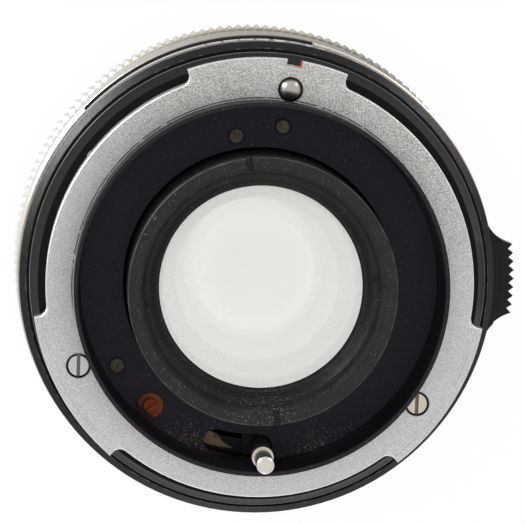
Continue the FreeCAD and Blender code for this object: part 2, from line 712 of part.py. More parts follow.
# Baffle plate: the floor of the tube, with a neck that the stop-down ring turns on
def baffle_plate():
    plate = ring(NECK_BORE, TUBE_FLOOR_BORE, FLANGE_Z, PLATE_TOP_Z)
    body = plate.fuse(ring(NECK_BORE, NECK_R, NECK_Z, FLANGE_Z)).removeSplitter()
    body = body.cut(pin_slot(SLOT_HALF_W, FLANGE_Z - PAST, PLATE_TOP_Z + PAST))
    for r, angle, _ in FLOOR_SCREWS:
        body = body.cut(disc(FLOOR_SCREW_R, FLANGE_Z - PAST, PLATE_TOP_Z + PAST, at(r, angle)))
    body = body.cut(disc(FLOOR_SCREW_R, FLANGE_Z - PAST, PLATE_TOP_Z + PAST, at(ADJUST_R, ADJUST_ANGLE)))
    return body.cut(disc(ANCHOR_SHANK_R, FLANGE_Z - PAST, PLATE_TOP_Z + PAST, at(ANCHOR_CIRCLE_R,
                                                                                 ANCHOR_ANGLE)))


def floor_screw(centre, head_r, head_t, length, angle):
    top = PLATE_TOP_Z + head_t
    shank = disc(FLOOR_SCREW_R, PLATE_TOP_Z - length, PLATE_TOP_Z, centre)
    body = disc(head_r, PLATE_TOP_Z, top, centre).fuse(shank)
    return body.cut(screw_slot(centre, FINE_SLOT_W, head_r, top, head_t / 2, angle))


def baffle_screws():
    return [floor_screw(at(r, angle), FLOOR_SCREW_HEAD_R, FLOOR_SCREW_HEAD_T, length,
                        FLOOR_SCREW_TURN_ANGLE + angle)
            for r, angle, length in FLOOR_SCREWS]


def adjusting_screw():
    return floor_screw(at(ADJUST_R, ADJUST_ANGLE), ADJUST_HEAD_R, ADJUST_HEAD_T, FLOOR_SCREW_L,
                       ADJUST_TURN_ANGLE)


def lacquer_seal():
    centre = at(ADJUST_R, ADJUST_ANGLE)
    bead = disc(LACQUER_R, PLATE_TOP_Z, PLATE_TOP_Z + LACQUER_T, centre)
    return bead.cut(disc(ADJUST_HEAD_R, PLATE_TOP_Z - PAST, PLATE_TOP_Z + PAST, centre))


# Mount housing: the black flange between the mount ring and the aperture ring
def mount_housing():
    low = BARREL_TOP_Z
    edge_top = low + HOUSING_EDGE_T
    body = turned([(HOUSING_BORE, low), (HOUSING_R, low), (HOUSING_R, edge_top - EDGE_BREAK),
                   (HOUSING_R - EDGE_BREAK, edge_top), (HOUSING_TOP_R, FLANGE_Z),
                   (HOUSING_WEB_BORE, FLANGE_Z), (HOUSING_WEB_BORE, WEB_UNDER_Z),
                   (HOUSING_BORE, WEB_UNDER_Z)])
    body = body.cut(pin_slot(SLOT_HALF_W + TOUCH, WEB_UNDER_Z - PAST, FLANGE_Z + PAST))
    for angle in [STUD_ANGLE] + MOUNT_SCREW_ANGLES:
        body = body.cut(disc(FIX_SHANK_R, low - PAST, FLANGE_Z + PAST, at(FIX_R, angle)))
    for angle in HOUSING_SCREW_ANGLES:
        centre = at(HOUSING_SCREW_R, angle)
        body = body.cut(disc(HOUSING_SCREW_HEAD_R, FLANGE_Z - HOUSING_SCREW_HEAD_T, FLANGE_Z + PAST,
                             centre))
        body = body.cut(disc(HOUSING_SCREW_SHANK_R, low - PAST, FLANGE_Z, centre))
    for r, angle, length in FLOOR_SCREWS[1:]:
        body = body.cut(disc(FLOOR_SCREW_R, WEB_UNDER_Z - PAST, FLANGE_Z + PAST, at(r, angle)))
    body = body.cut(disc(FLOOR_SCREW_R, WEB_UNDER_Z - PAST, FLANGE_Z + PAST, at(ADJUST_R, ADJUST_ANGLE)))
    anchor = at(ANCHOR_CIRCLE_R, ANCHOR_ANGLE)
    return body.cut(disc(ANCHOR_SHANK_R + TOUCH, WEB_UNDER_Z - PAST, FLANGE_Z + PAST, anchor))


def housing_screws():
    screws = []
    seat = FLANGE_Z - HOUSING_SCREW_HEAD_T
    for angle in HOUSING_SCREW_ANGLES:
        centre = at(HOUSING_SCREW_R, angle)
        body = disc(HOUSING_SCREW_HEAD_R, seat, FLANGE_Z, centre)
        body = body.fuse(disc(HOUSING_SCREW_SHANK_R, seat - HOUSING_SCREW_L, seat, centre))
        cut = screw_slot(centre, FINE_SLOT_W, HOUSING_SCREW_HEAD_R, FLANGE_Z, FINE_SLOT_DEPTH, 0)
        screws.append(body.cut(cut))
    return screws


# Fixed barrel: the tube that all the rings turn on
def fixed_barrel():
    body = ring(BARREL_BORE, BARREL_R, BARREL_Z, BARREL_TOP_Z)
    rib = ring(RIB_BORE, (BARREL_BORE + BARREL_R) / 2, RIB_Z, RIB_Z + RIB_T)
    body = body.fuse(rib).removeSplitter()
    for angle in HOUSING_SCREW_ANGLES:
        centre = at(HOUSING_SCREW_R, angle)
        low = FLANGE_Z - HOUSING_SCREW_HEAD_T - HOUSING_SCREW_L
        body = body.cut(disc(HOUSING_SCREW_SHANK_R, low, BARREL_TOP_Z + PAST, centre))
    for angle in INDEX_GRUB_ANGLES:
        body = body.cut(radial_rod(GRUB_R, BARREL_R - GRUB_SINK, BARREL_R + PAST, angle, index_middle()))
    body = body.cut(radial_rod(STOP_SCREW_R, BARREL_BORE - PAST, BARREL_R + PAST, STOP_SCREW_ANGLE,
                               STOP_SCREW_Z))
    body = body.cut(radial_rod(CLICK_BALL_R + TOUCH, CLICK_POCKET_FLOOR, BARREL_R + PAST, CLICK_ANGLE,
                               CLICK_Z))
    over = math.degrees((LINK_R + FREE) / BARREL_BORE)
    notch_low = LINK_Z - LINK_R - FREE / 2
    sweep = APERTURE_TURN_ANGLE + 2 * over
    notch = ring(BARREL_BORE - PAST, BARREL_R + PAST, notch_low, BARREL_TOP_Z + PAST,
                 LINK_ANGLE - over, sweep)
    return body.cut(notch)


def index_middle():
    return (INDEX_Z + WINDOW_LIP + INDEX_TOP_Z) / 2


# Index ring: silver ring with a window milled into its outside
def index_ring():
    body = turned([(BARREL_R, INDEX_Z), (INDEX_R - EDGE_BREAK, INDEX_Z), (INDEX_R, INDEX_Z + EDGE_BREAK),
                   (INDEX_R, INDEX_TOP_Z - EDGE_BREAK), (INDEX_R - EDGE_BREAK, INDEX_TOP_Z),
                   (BARREL_R, INDEX_TOP_Z)])
    window = ring(INDEX_R - WINDOW_DEPTH, INDEX_R + PAST, INDEX_Z + WINDOW_LIP, INDEX_TOP_Z + PAST,
                  WINDOW_START_ANGLE, WINDOW_END_ANGLE - WINDOW_START_ANGLE)
    body = body.cut(window)
    for angle in INDEX_GRUB_ANGLES:
        body = body.cut(radial_rod(GRUB_R, BARREL_R - PAST, INDEX_R + PAST, angle, index_middle()))
    return body


def scale_panel():
    floor = INDEX_R - WINDOW_DEPTH
    low = INDEX_Z + WINDOW_LIP
    return ring(floor, floor + SCALE_STRIP_T, low, INDEX_TOP_Z, WINDOW_START_ANGLE,
                WINDOW_END_ANGLE - WINDOW_START_ANGLE)


def index_ring_screws():
    screws = []
    outer = INDEX_R - GRUB_RECESS
    level = index_middle()
    for angle in INDEX_GRUB_ANGLES:
        body = radial_rod(GRUB_R, BARREL_R - GRUB_SINK, outer, angle, level)
        cut = radial_block(outer - FINE_SLOT_DEPTH, outer + PAST, FINE_SLOT_W, level - PAST,
                           level + PAST, angle)
        screws.append(body.cut(cut))
    return screws


# Aperture ring: black ring with one serrated tab, a groove for the click ball and a hole for the link pin
def tab_outline(half_teeth):
    """Points of the toothed edge, from the lower flank to the upper one."""
    points = []
    for k in range(2 * half_teeth + 1):
        angle = TAB_ANGLE + (k - half_teeth) * TAB_TOOTH_ANGLE
        points.append(at(TAB_TIP_R, angle))
        if k < 2 * half_teeth:
            points.append(at(TAB_TIP_R - TAB_TOOTH_DEPTH, angle + TAB_TOOTH_ANGLE / 2))
    half_arc = half_teeth * TAB_TOOTH_ANGLE
    low_end_angle = TAB_ANGLE - half_arc - TAB_FLANK_END_ANGLE
    high_end_angle = TAB_ANGLE + half_arc + TAB_FLANK_END_ANGLE
    low_end = at(APERTURE_R - TOUCH, low_end_angle)
    high_end = at(APERTURE_R - TOUCH, high_end_angle)
    low_mid = at(TAB_FLANK_MID_R, TAB_ANGLE - half_arc - TAB_FLANK_MID_ANGLE)
    high_mid = at(TAB_FLANK_MID_R, TAB_ANGLE + half_arc + TAB_FLANK_MID_ANGLE)
    edges = [Part.Arc(low_end, low_mid, points[0]).toShape()]
    edges += [Part.LineSegment(a, b).toShape() for a, b in zip(points, points[1:])]
    low_root = at(TAB_ROOT_R, low_end_angle)
    high_root = at(TAB_ROOT_R, high_end_angle)
    edges += [Part.Arc(points[-1], high_mid, high_end).toShape(),
              Part.LineSegment(high_end, high_root).toShape(),
              Part.Arc(high_root, at(TAB_ROOT_R, TAB_ANGLE), low_root).toShape(),
              Part.LineSegment(low_root, low_end).toShape()]
    return Part.Face(Part.Wire(edges))


def aperture_ring():
    bore = BARREL_R + RUN
    body_top = APERTURE_TOP_Z - APERTURE_BODY_DROP
    bevel_z = APERTURE_TOP_Z - APERTURE_BEVEL_H
    rim_bore = HOUSING_R + FREE
    body = turned([(bore, APERTURE_Z), (APERTURE_R, APERTURE_Z), (APERTURE_R, bevel_z),
                   (rim_bore + APERTURE_LAND_W, APERTURE_TOP_Z), (rim_bore, APERTURE_TOP_Z),
                   (rim_bore, body_top), (bore, body_top)])
    half_teeth = (TAB_TOOTH_COUNT - 1) // 2
    tab = tab_outline(half_teeth).extrude(Vector(0, 0, TAB_TOP_Z - TAB_Z))
    tab.translate(Vector(0, 0, TAB_Z))
    tab = tab.cut(disc(INDEX_R + FREE, TAB_Z - PAST, APERTURE_Z))
    pad = tab_outline(half_teeth).extrude(Vector(0, 0, TAB_PAD_TOP_Z - APERTURE_Z))
    pad.translate(Vector(0, 0, APERTURE_Z))
    pad = pad.common(disc(TAB_PAD_R, APERTURE_Z - PAST, TAB_PAD_TOP_Z + PAST))
    body = body.fuse([tab, pad]).removeSplitter()
    track_r = bore + CLICK_TRACK_DEPTH
    body = body.cut(turned([(bore - PAST, CLICK_Z - CLICK_TRACK_MOUTH), (track_r,
                                                                         CLICK_Z - CLICK_TRACK_FLOOR),
                            (track_r, CLICK_Z + CLICK_TRACK_FLOOR), (bore - PAST,
                                                                     CLICK_Z + CLICK_TRACK_MOUTH)]))
    return body.cut(radial_rod(LINK_R, BARREL_BORE, LINK_OUTER_R, LINK_ANGLE, LINK_Z))


def aperture_cam_ring():
    low = LINK_Z - CAM_T / 2
    body = ring(CAM_BORE, BARREL_BORE - RUN, low, low + CAM_T)
    return body.cut(radial_rod(LINK_R, LINK_INNER_R, BARREL_BORE + PAST, LINK_ANGLE, LINK_Z))


def aperture_link_pin():
    return radial_rod(LINK_R, LINK_INNER_R, LINK_OUTER_R, LINK_ANGLE, LINK_Z)


def click_ball():
    return Part.makeSphere(CLICK_BALL_R, at(BARREL_R + CLICK_BALL_OUT - CLICK_BALL_R, CLICK_ANGLE, CLICK_Z))


def click_spring():
    end = BARREL_R + CLICK_BALL_OUT - 2 * CLICK_BALL_R - TOUCH
    outer = radial_rod(CLICK_SPRING_R, CLICK_POCKET_FLOOR, end, CLICK_ANGLE, CLICK_Z)
    bore = CLICK_SPRING_R - CLICK_SPRING_WALL
    return outer.cut(radial_rod(bore, CLICK_POCKET_FLOOR - PAST, end + PAST, CLICK_ANGLE, CLICK_Z))


# Focusing: the knurled grip is clamped to the turning sleeve, which drives the sliding helicoid
def focus_grip_ring():
    points = []
    for k in range(KNURL_COUNT):
        points.append(at(KNURL_R, 360 * k / KNURL_COUNT))
        points.append(at(KNURL_R - KNURL_DEPTH, 360 * (k + 0.5) / KNURL_COUNT))
    knurl = Part.Face(Part.makePolygon(points + points[:1])).extrude(Vector(0, 0, KNURL_TOP_Z - GRIP_Z))
    knurl.translate(Vector(0, 0, GRIP_Z))
    root_r = KNURL_R - KNURL_DEPTH
    chamfer_low = GRIP_Z + KNURL_CHAMFER
    chamfer_high = KNURL_TOP_Z - KNURL_CHAMFER
    knurl = knurl.common(turned([(0, GRIP_Z), (root_r, GRIP_Z), (KNURL_R, chamfer_low),
                                 (KNURL_R, chamfer_high), (root_r, KNURL_TOP_Z), (0, KNURL_TOP_Z)]))
    groove_r = GRIP_COLLAR_R - GRIP_GROOVE_DEPTH
    first = KNURL_TOP_Z + GRIP_GROOVE_W
    second = first + 2 * GRIP_GROOVE_W
    collar = turned([(0, KNURL_TOP_Z), (groove_r, KNURL_TOP_Z), (groove_r, first), (GRIP_COLLAR_R, first),
                     (GRIP_COLLAR_R, second), (groove_r, second), (groove_r, second + GRIP_GROOVE_W),
                     (GRIP_COLLAR_R, second + GRIP_GROOVE_W), (GRIP_COLLAR_R, GRIP_TOP_Z - EDGE_BREAK),
                     (GRIP_COLLAR_R - EDGE_BREAK, GRIP_TOP_Z), (0, GRIP_TOP_Z)])
    spigot = disc(SPIGOT_R, GRIP_WEB_Z, GRIP_Z)
    body = knurl.fuse([collar, spigot])
    body = body.cut(disc(GRIP_CLEAR_BORE, GRIP_WEB_Z + WEB_T, GRIP_TOP_Z + PAST))
    body = body.cut(disc(WEB_BORE, GRIP_WEB_Z - PAST, GRIP_TOP_Z + PAST))
    for k in range(3):
        centre = at(GRIP_SCREW_R, k * 120)
        body = body.cut(disc(GRIP_SCREW_HEAD_R, GRIP_WEB_Z - PAST, GRIP_WEB_Z + GRIP_SCREW_HEAD_T, centre))
        body = body.cut(disc(GRIP_SCREW_SHANK_R, GRIP_WEB_Z, GRIP_Z + PAST, centre))
        inner = SPIGOT_R - SCALE_GRUB_SINK
        body = body.cut(radial_rod(GRUB_R, inner, SPIGOT_R + PAST, 60 + k * 120, scale_screw_level()))
    return body


def scale_screw_level():
    return (GRIP_WEB_Z + GRIP_Z) / 2


def grip_screws():
    screws = []
    for k in range(3):
        centre = at(GRIP_SCREW_R, k * 120)
        seat = GRIP_WEB_Z + GRIP_SCREW_HEAD_T
        body = disc(GRIP_SCREW_HEAD_R, GRIP_WEB_Z, seat, centre)
        screws.append(body.fuse(disc(GRIP_SCREW_SHANK_R, seat, seat + GRIP_SCREW_L, centre)))
    return screws


def distance_ring():
    top = GRIP_Z - SCALE_RING_GAP
    bore = FILTER_R + SCALE_RING_CLEAR
    body = turned([(bore, SCALE_RING_Z), (SCALE_RING_R - SCALE_RING_NOSE, SCALE_RING_Z),
                   (SCALE_RING_R, SCALE_RING_Z + SCALE_RING_BEVEL), (SCALE_RING_R, top), (SPIGOT_R, top),
                   (SPIGOT_R, GRIP_WEB_Z), (bore, GRIP_WEB_Z)])
    for k in range(3):
        body = body.cut(radial_rod(GRUB_R, SPIGOT_R - PAST, SCALE_RING_R + PAST, 60 + k * 120,
                                   scale_screw_level()))
    return body


def distance_ring_screws():
    screws = []
    level = scale_screw_level()
    outer = SCALE_RING_R - GRUB_RECESS
    for k in range(3):
        angle = 60 + k * 120
        body = radial_rod(GRUB_R, SPIGOT_R - SCALE_GRUB_SINK, outer, angle, level)
        cut = radial_block(outer - FINE_SLOT_DEPTH, outer + PAST, FINE_SLOT_W, level - PAST,
                           level + PAST, angle)
        screws.append(body.cut(cut))
    return screws


def focus_sleeve():
    rib_z = SLEEVE_TOP_Z - SLEEVE_RIB_L
    rib_r = BARREL_BORE - RUN
    low = GRIP_WEB_Z + WEB_T
    body = turned([(SLEEVE_BORE, low), (SLEEVE_NECK_R, low), (SLEEVE_NECK_R, rib_z), (rib_r, rib_z),
                   (rib_r, SLEEVE_TOP_Z), (SLEEVE_BORE, SLEEVE_TOP_Z)])
    floor_r = rib_r - STOP_TRACK_DEPTH
    half_w = STOP_SCREW_R + RUN
    over = math.degrees((STOP_SCREW_R + 2 * RUN) / floor_r)
    start = STOP_SCREW_ANGLE - FOCUS_TURN_ANGLE - over
    sweep = FOCUS_TURN_ANGLE + 2 * over
    track = ring(floor_r, rib_r + PAST, STOP_SCREW_Z - half_w, STOP_SCREW_Z + half_w, start, sweep)
    body = body.cut(track)
    tip_z = GRIP_WEB_Z + GRIP_SCREW_HEAD_T + GRIP_SCREW_L
    for k in range(3):
        body = body.cut(disc(GRIP_SCREW_SHANK_R, GRIP_WEB_Z, tip_z, at(GRIP_SCREW_R, k * 120)))
    return body


def focus_stop_screw():
    inner = BARREL_BORE - STOP_TRACK_DEPTH + 2 * RUN
    return radial_rod(STOP_SCREW_R, inner, BARREL_R - RUN, STOP_SCREW_ANGLE, STOP_SCREW_Z)


def sleeve_retainer():
    top = SLEEVE_TOP_Z - SLEEVE_RIB_L - RUN
    return ring(SLEEVE_NECK_R + RUN, BARREL_BORE, top - RETAINER_T, top)


def guide_keys():
    keys = []
    tongue_inner = BLOCK_R + KEY_CLEAR
    tongue_outer = HELICOID_R - KEY_CLEAR
    foot_top = KEY_FOOT_Z + KEY_FOOT_T
    for angle in KEY_ANGLES:
        tongue = radial_block(tongue_inner, tongue_outer, KEY_W, KEY_Z, foot_top, angle)
        foot = radial_block(tongue_inner, KEY_FOOT_R, KEY_W, KEY_FOOT_Z, foot_top, angle)
        keys.append(tongue.fuse(foot).removeSplitter())
    return keys


# Sliding half of the helicoid, with the front rim on its flange
def inner_helicoid():
    flange_top = HELICOID_FLANGE_Z + HELICOID_FLANGE_T
    body = turned([(BLOCK_R, HELICOID_FLANGE_Z), (HELICOID_FLANGE_R, HELICOID_FLANGE_Z),
                   (HELICOID_FLANGE_R, flange_top), (HELICOID_R, flange_top), (HELICOID_R, HELICOID_TOP_Z),
                   (BLOCK_R, HELICOID_TOP_Z)])
    for angle in KEY_ANGLES:
        high = HELICOID_TOP_Z + 1
        body = body.cut(radial_block(BLOCK_R - PAST, HELICOID_R + PAST, KEY_W + 2 * RUN, KEY_SLOT_Z,
                                     high, angle))
    for k in range(3):
        centre = at(FILTER_SCREW_R, 30 + k * 120)
        body = body.cut(disc(FILTER_SCREW_SHANK_R, HELICOID_FLANGE_Z - PAST, flange_top + PAST, centre))
    return body


def filter_ring():
    body = turned([(FILTER_THREAD_R, 0), (FILTER_R - FILTER_CHAMFER, 0), (FILTER_R, FILTER_CHAMFER),
                   (FILTER_R, HELICOID_FLANGE_Z), (LOCK_R, HELICOID_FLANGE_Z), (LOCK_R, FILTER_WALL_Z),
                   (NAME_RING_R, FILTER_WALL_Z), (NAME_RING_R, FILTER_THREAD_L),
                   (FILTER_THREAD_R, FILTER_THREAD_L)])
    seat = FILTER_WALL_Z + FILTER_SCREW_HEAD_T
    for k in range(3):
        centre = at(FILTER_SCREW_R, 30 + k * 120)
        body = body.cut(disc(FILTER_SCREW_SHANK_R, FILTER_WALL_Z - PAST, HELICOID_FLANGE_Z + PAST, centre))
        body = body.cut(disc(FILTER_SCREW_HEAD_R, FILTER_WALL_Z - PAST, seat, centre))
    return body


def filter_ring_screws():
    screws = []
    seat = FILTER_WALL_Z + FILTER_SCREW_HEAD_T
    for k in range(3):
        centre = at(FILTER_SCREW_R, 30 + k * 120)
        body = disc(FILTER_SCREW_HEAD_R, FILTER_WALL_Z, seat, centre)
        tip = HELICOID_FLANGE_Z + HELICOID_FLANGE_T
        screws.append(body.fuse(disc(FILTER_SCREW_SHANK_R, seat, tip, centre)))
    return screws


def name_ring():
    low = FILTER_THREAD_L
    inner = NAME_TUBE_R - NAME_TUBE_WALL
    middle = low + NAME_RING_DISH / 3
    dish = low + NAME_RING_DISH
    return turned([(NAME_RING_R, low), (NAME_RING_R, low + NAME_RING_T), (LOCK_R, middle + NAME_RING_T),
                   (NAME_TUBE_R, dish + NAME_RING_T), (NAME_TUBE_R, NAME_TUBE_Z), (inner, NAME_TUBE_Z),
                   (inner, dish), (LOCK_R, middle)])


def block_lock_ring():
    return ring(LOCK_BORE, LOCK_R, BLOCK_Z - LOCK_T, BLOCK_Z)


# Lens block: carries the front glass and the iris
def lens_block():
    well_r = NAME_TUBE_R
    body = turned([(well_r, BLOCK_Z), (BLOCK_FLANGE_R, BLOCK_Z), (BLOCK_FLANGE_R, HELICOID_FLANGE_Z),
                   (BLOCK_R, HELICOID_FLANGE_Z), (BLOCK_R, COVER_Z), (CHAMBER_R, COVER_Z),
                   (CHAMBER_R, IRIS_FLOOR_Z), (BASE_BORE, IRIS_FLOOR_Z), (BASE_BORE, FLINT_RIM_Z),
                   (FRONT_DOUBLET_R, FLINT_RIM_Z), (FRONT_DOUBLET_R, CROWN_SEAT_Z),
                   (FRONT_GLASS_R, CROWN_SEAT_Z), (FRONT_GLASS_R, FRONT_RIM_Z), (well_r, FRONT_RIM_Z)])
    body = body.cut(rotor_window(ROTOR_Z - ROTOR_CLEAR, COVER_Z + PAST))
    for angle in COVER_SCREW_ANGLES:
        low = COVER_TOP_Z - COVER_SCREW_L
        body = body.cut(disc(COVER_SCREW_SHANK_R, low, COVER_Z + PAST, at(COVER_SCREW_R, angle)))
    return body


def rotor_window(low, high):
    """Opening in the block's wall for the swing of the rotor's tab."""
    half = math.degrees((POST_R + EAR_R + FREE) / POST_CIRCLE_R)
    start = POST_ANGLE - STOP_DOWN_ANGLE - half
    return ring(CHAMBER_R - PAST, BLOCK_R + PAST, low, high, start, STOP_DOWN_ANGLE + 2 * half)


def front_retaining_ring():
    bore = NAME_TUBE_R - FRONT_RING_WALL
    seat = FRONT_RIM_Z - TOUCH
    glass_z = FRONT_GLASS_Z + sag(FRONT_CURVE, bore) - RUN
    return turned([(bore, seat - FRONT_RING_T), (NAME_TUBE_R, seat - FRONT_RING_T), (NAME_TUBE_R, seat),
                   (FRONT_GLASS_R + RUN, seat), (bore, glass_z)])


def front_spacer():
    start = FRONT_BACK_RIM_Z + TOUCH
    return turned([(FRONT_GLASS_R - FRONT_SEAT, start), (FRONT_GLASS_R, start),
                   (FRONT_GLASS_R, CROWN_SEAT_Z), (FRONT_DOUBLET_R - CROWN_SEAT, CROWN_SEAT_Z)])


def front_element():
    return glass(FRONT_GLASS_R, (FRONT_GLASS_Z, FRONT_CURVE, FRONT_GLASS_R),
                 (FRONT_GLASS_Z + FRONT_GLASS_T, FRONT_BACK_CURVE, FRONT_GLASS_R))


def front_doublet_crown():
    return glass(FRONT_DOUBLET_R, (CROWN_Z, CROWN_CURVE, FRONT_DOUBLET_R), (FLINT_Z, 0, FRONT_DOUBLET_R))


def front_doublet_flint():
    return glass(FRONT_DOUBLET_R, (FLINT_Z, 0, FRONT_DOUBLET_R), (FLINT_BACK_Z, FLINT_CURVE, STOP_CLEAR_R))


# Iris: six blades on fixed pivots, turned by the slots of the rotor
def iris_base():
    body = ring(BASE_BORE, CHAMBER_R, IRIS_FLOOR_Z, BASE_TOP_Z)
    for k in range(BLADE_COUNT):
        centre = at(PIVOT_R, k * 360 / BLADE_COUNT)
        body = body.cut(disc(PIVOT_PIN_R + RUN, IRIS_FLOOR_Z - PAST, BASE_TOP_Z + PAST, centre))
    return body


def iris_blade(k):
    """Blade in its own layer: a curved leaf with an ear that carries the pivot pin and the drive pin."""
    low = BLADES_Z + k * BLADE_PITCH
    high = low + BLADE_T
    middle_r = (BLADE_INNER_R + BLADE_OUTER_R) / 2
    half_w = (BLADE_OUTER_R - BLADE_INNER_R) / 2
    tip = math.degrees(half_w / middle_r)
    leaf = round_slot(middle_r, 0, BLADE_SPAN_ANGLE - tip, half_w, low, high)
    ear = round_slot(PIVOT_R, 0, DRIVE_ANGLE, EAR_R, low, high)
    bridge = ring(middle_r, PIVOT_R, low, high, 0, DRIVE_ANGLE)
    body = leaf.fuse([ear, bridge])
    body = body.fuse([disc(PIVOT_PIN_R, IRIS_FLOOR_Z + RUN, low, at(PIVOT_R, 0)),
                      disc(PIVOT_PIN_R, high, ROTOR_TOP_Z - RUN, at(PIVOT_R, DRIVE_ANGLE))])
    body.rotate(Vector(), Vector(0, 0, 1), k * 360 / BLADE_COUNT)
    return body


def drive_pin_place(share):
    """Place of the first blade's drive pin, seen from the rotor, at a share of the swing."""
    pivot = at(PIVOT_R, 0)
    arm = about_axis(at(PIVOT_R, DRIVE_ANGLE) - pivot, share * BLADE_SWING_ANGLE)
    return about_axis(pivot + arm, share * STOP_DOWN_ANGLE)


def iris_rotor():
    body = ring(ROTOR_BORE, CHAMBER_R - RUN, ROTOR_Z, ROTOR_TOP_Z)
    tab = disc(ROTOR_TAB_R, ROTOR_Z, ROTOR_TOP_Z, at(POST_CIRCLE_R, POST_ANGLE))
    neck = radial_block(CHAMBER_R - PAST, POST_CIRCLE_R, 2 * ROTOR_TAB_R, ROTOR_Z, ROTOR_TOP_Z, POST_ANGLE)
    body = body.fuse([tab, neck]).common(disc(BLOCK_R, ROTOR_Z, ROTOR_TOP_Z))
    half_w = PIVOT_PIN_R + SLOT_CLEAR
    first, middle, last = [drive_pin_place(share) for share in (-SLOT_SPARE_SHARE, 0.5,
                                                                1 + SLOT_SPARE_SHARE)]
    slot = slot_along(first, middle, last, half_w, ROTOR_Z - PAST, ROTOR_TOP_Z + PAST)
    for k in range(BLADE_COUNT):
        turned_slot = slot.copy()
        turned_slot.rotate(Vector(), Vector(0, 0, 1), k * 360 / BLADE_COUNT)
        body = body.cut(turned_slot)
    return body.cut(disc(POST_R, ROTOR_Z - PAST, ROTOR_TOP_Z + PAST, at(POST_CIRCLE_R, POST_ANGLE)))


def rotor_post():
    return disc(POST_R, ROTOR_Z, LEVER_TOP_Z, at(POST_CIRCLE_R, POST_ANGLE))


def iris_cover():
    body = ring(CELL_SPIGOT_R, BLOCK_R, COVER_Z, COVER_TOP_Z)
    body = body.cut(rotor_window(COVER_Z - PAST, COVER_TOP_Z + PAST))
    for angle in COVER_SCREW_ANGLES:
        centre = at(COVER_SCREW_R, angle)
        body = body.cut(disc(COVER_SCREW_SHANK_R, COVER_Z - PAST, COVER_TOP_Z + PAST, centre))
        body = body.cut(disc(COVER_SCREW_HEAD_R, COVER_TOP_Z - COVER_SCREW_HEAD_T, COVER_TOP_Z + PAST,
                             centre))
    return body


def iris_cover_screws():
    screws = []
    seat = COVER_TOP_Z - COVER_SCREW_HEAD_T
    for angle in COVER_SCREW_ANGLES:
        centre = at(COVER_SCREW_R, angle)
        body = disc(COVER_SCREW_HEAD_R, seat, COVER_TOP_Z, centre)
        screws.append(body.fuse(disc(COVER_SCREW_SHANK_R, COVER_TOP_Z - COVER_SCREW_L, seat, centre)))
    return screws


# Rear cell with the rear glass
def rear_cell():
    thread_z = REAR_BACK_RIM_Z + TOUCH
    spigot_z = COVER_TOP_Z - CELL_SPIGOT_L
    shoulder_z = REAR_CROWN_RIM_Z + TOUCH
    ring_top = thread_z + RING_L
    body = turned([(CELL_FRONT_BORE, spigot_z), (CELL_SPIGOT_R, spigot_z), (CELL_SPIGOT_R, COVER_TOP_Z),
                   (CELL_R, COVER_TOP_Z), (CELL_R, CELL_Z - EDGE_BREAK), (CELL_R - EDGE_BREAK, CELL_Z),
                   (CELL_MOUTH_R, CELL_Z), (CELL_THREAD_R, ring_top),
                   (CELL_THREAD_R, thread_z), (REAR_GLASS_R, thread_z), (REAR_GLASS_R, shoulder_z),
                   (REAR_DOUBLET_R, shoulder_z), (REAR_DOUBLET_R, REAR_FLINT_RIM_Z),
                   (CELL_FRONT_BORE, REAR_FLINT_RIM_Z)])
    floor = CELL_Z - CELL_SLOT_DEPTH
    for angle in (CELL_SLOT_ANGLE, CELL_SLOT_ANGLE + 180):
        body = body.cut(radial_block(CELL_THREAD_R - PAST, CELL_R + PAST, CELL_SLOT_W, floor,
                                     CELL_Z + PAST, angle))
    return body


def rear_retaining_ring():
    low = REAR_BACK_RIM_Z + 2 * TOUCH
    inner = REAR_CLEAR_R
    step_h = RING_L / RING_STEP_COUNT
    step_w = (RING_TOP_R - inner) / RING_STEP_COUNT
    profile = [(CELL_THREAD_R, low), (CELL_THREAD_R, low + RING_L), (RING_TOP_R, low + RING_L)]
    for k in range(RING_STEP_COUNT):
        r = RING_TOP_R - k * step_w
        level = low + RING_L - k * step_h
        profile += [(r, level - RING_STEP_FACE * step_h), (r - step_w, level - step_h)]
    profile[-1] = (inner, REAR_GLASS_BACK_Z + sag(REAR_BACK_CURVE, inner) + 2 * TOUCH)
    body = turned(profile)
    high = low + RING_L
    floor = high - RING_NOTCH_DEPTH
    inner = RING_TOP_R - RING_NOTCH_DEPTH
    for angle in (CELL_SLOT_ANGLE + 90, CELL_SLOT_ANGLE + 270):
        body = body.cut(radial_block(inner, CELL_THREAD_R + PAST, RING_NOTCH_W, floor, high + PAST, angle))
    return body


def rear_spacer():
    low = REAR_CROWN_RIM_Z + TOUCH
    high = REAR_FRONT_RIM_Z - TOUCH
    seat_r = REAR_DOUBLET_R - SPACER_SEAT
    seat_z = REAR_CROWN_BACK_Z + sag(REAR_CROWN_CURVE, seat_r) + 2 * TOUCH
    return turned([(REAR_DOUBLET_R + TOUCH, low), (REAR_GLASS_R, low), (REAR_GLASS_R, high),
                   (REAR_GLASS_R - SPACER_SEAT, high), (seat_r, seat_z)])


def rear_doublet_flint():
    return glass(REAR_DOUBLET_R, (REAR_FLINT_Z, REAR_FLINT_CURVE, STOP_CLEAR_R),
                 (REAR_CROWN_Z, 0, REAR_DOUBLET_R))


def rear_doublet_crown():
    return glass(REAR_DOUBLET_R, (REAR_CROWN_Z, 0, REAR_DOUBLET_R),
                 (REAR_CROWN_BACK_Z, REAR_CROWN_CURVE, REAR_DOUBLET_R))


def rear_element():
    return glass(REAR_GLASS_R, (REAR_GLASS_Z, REAR_CURVE, REAR_GLASS_R),
                 (REAR_GLASS_BACK_Z, REAR_BACK_CURVE, REAR_GLASS_R))


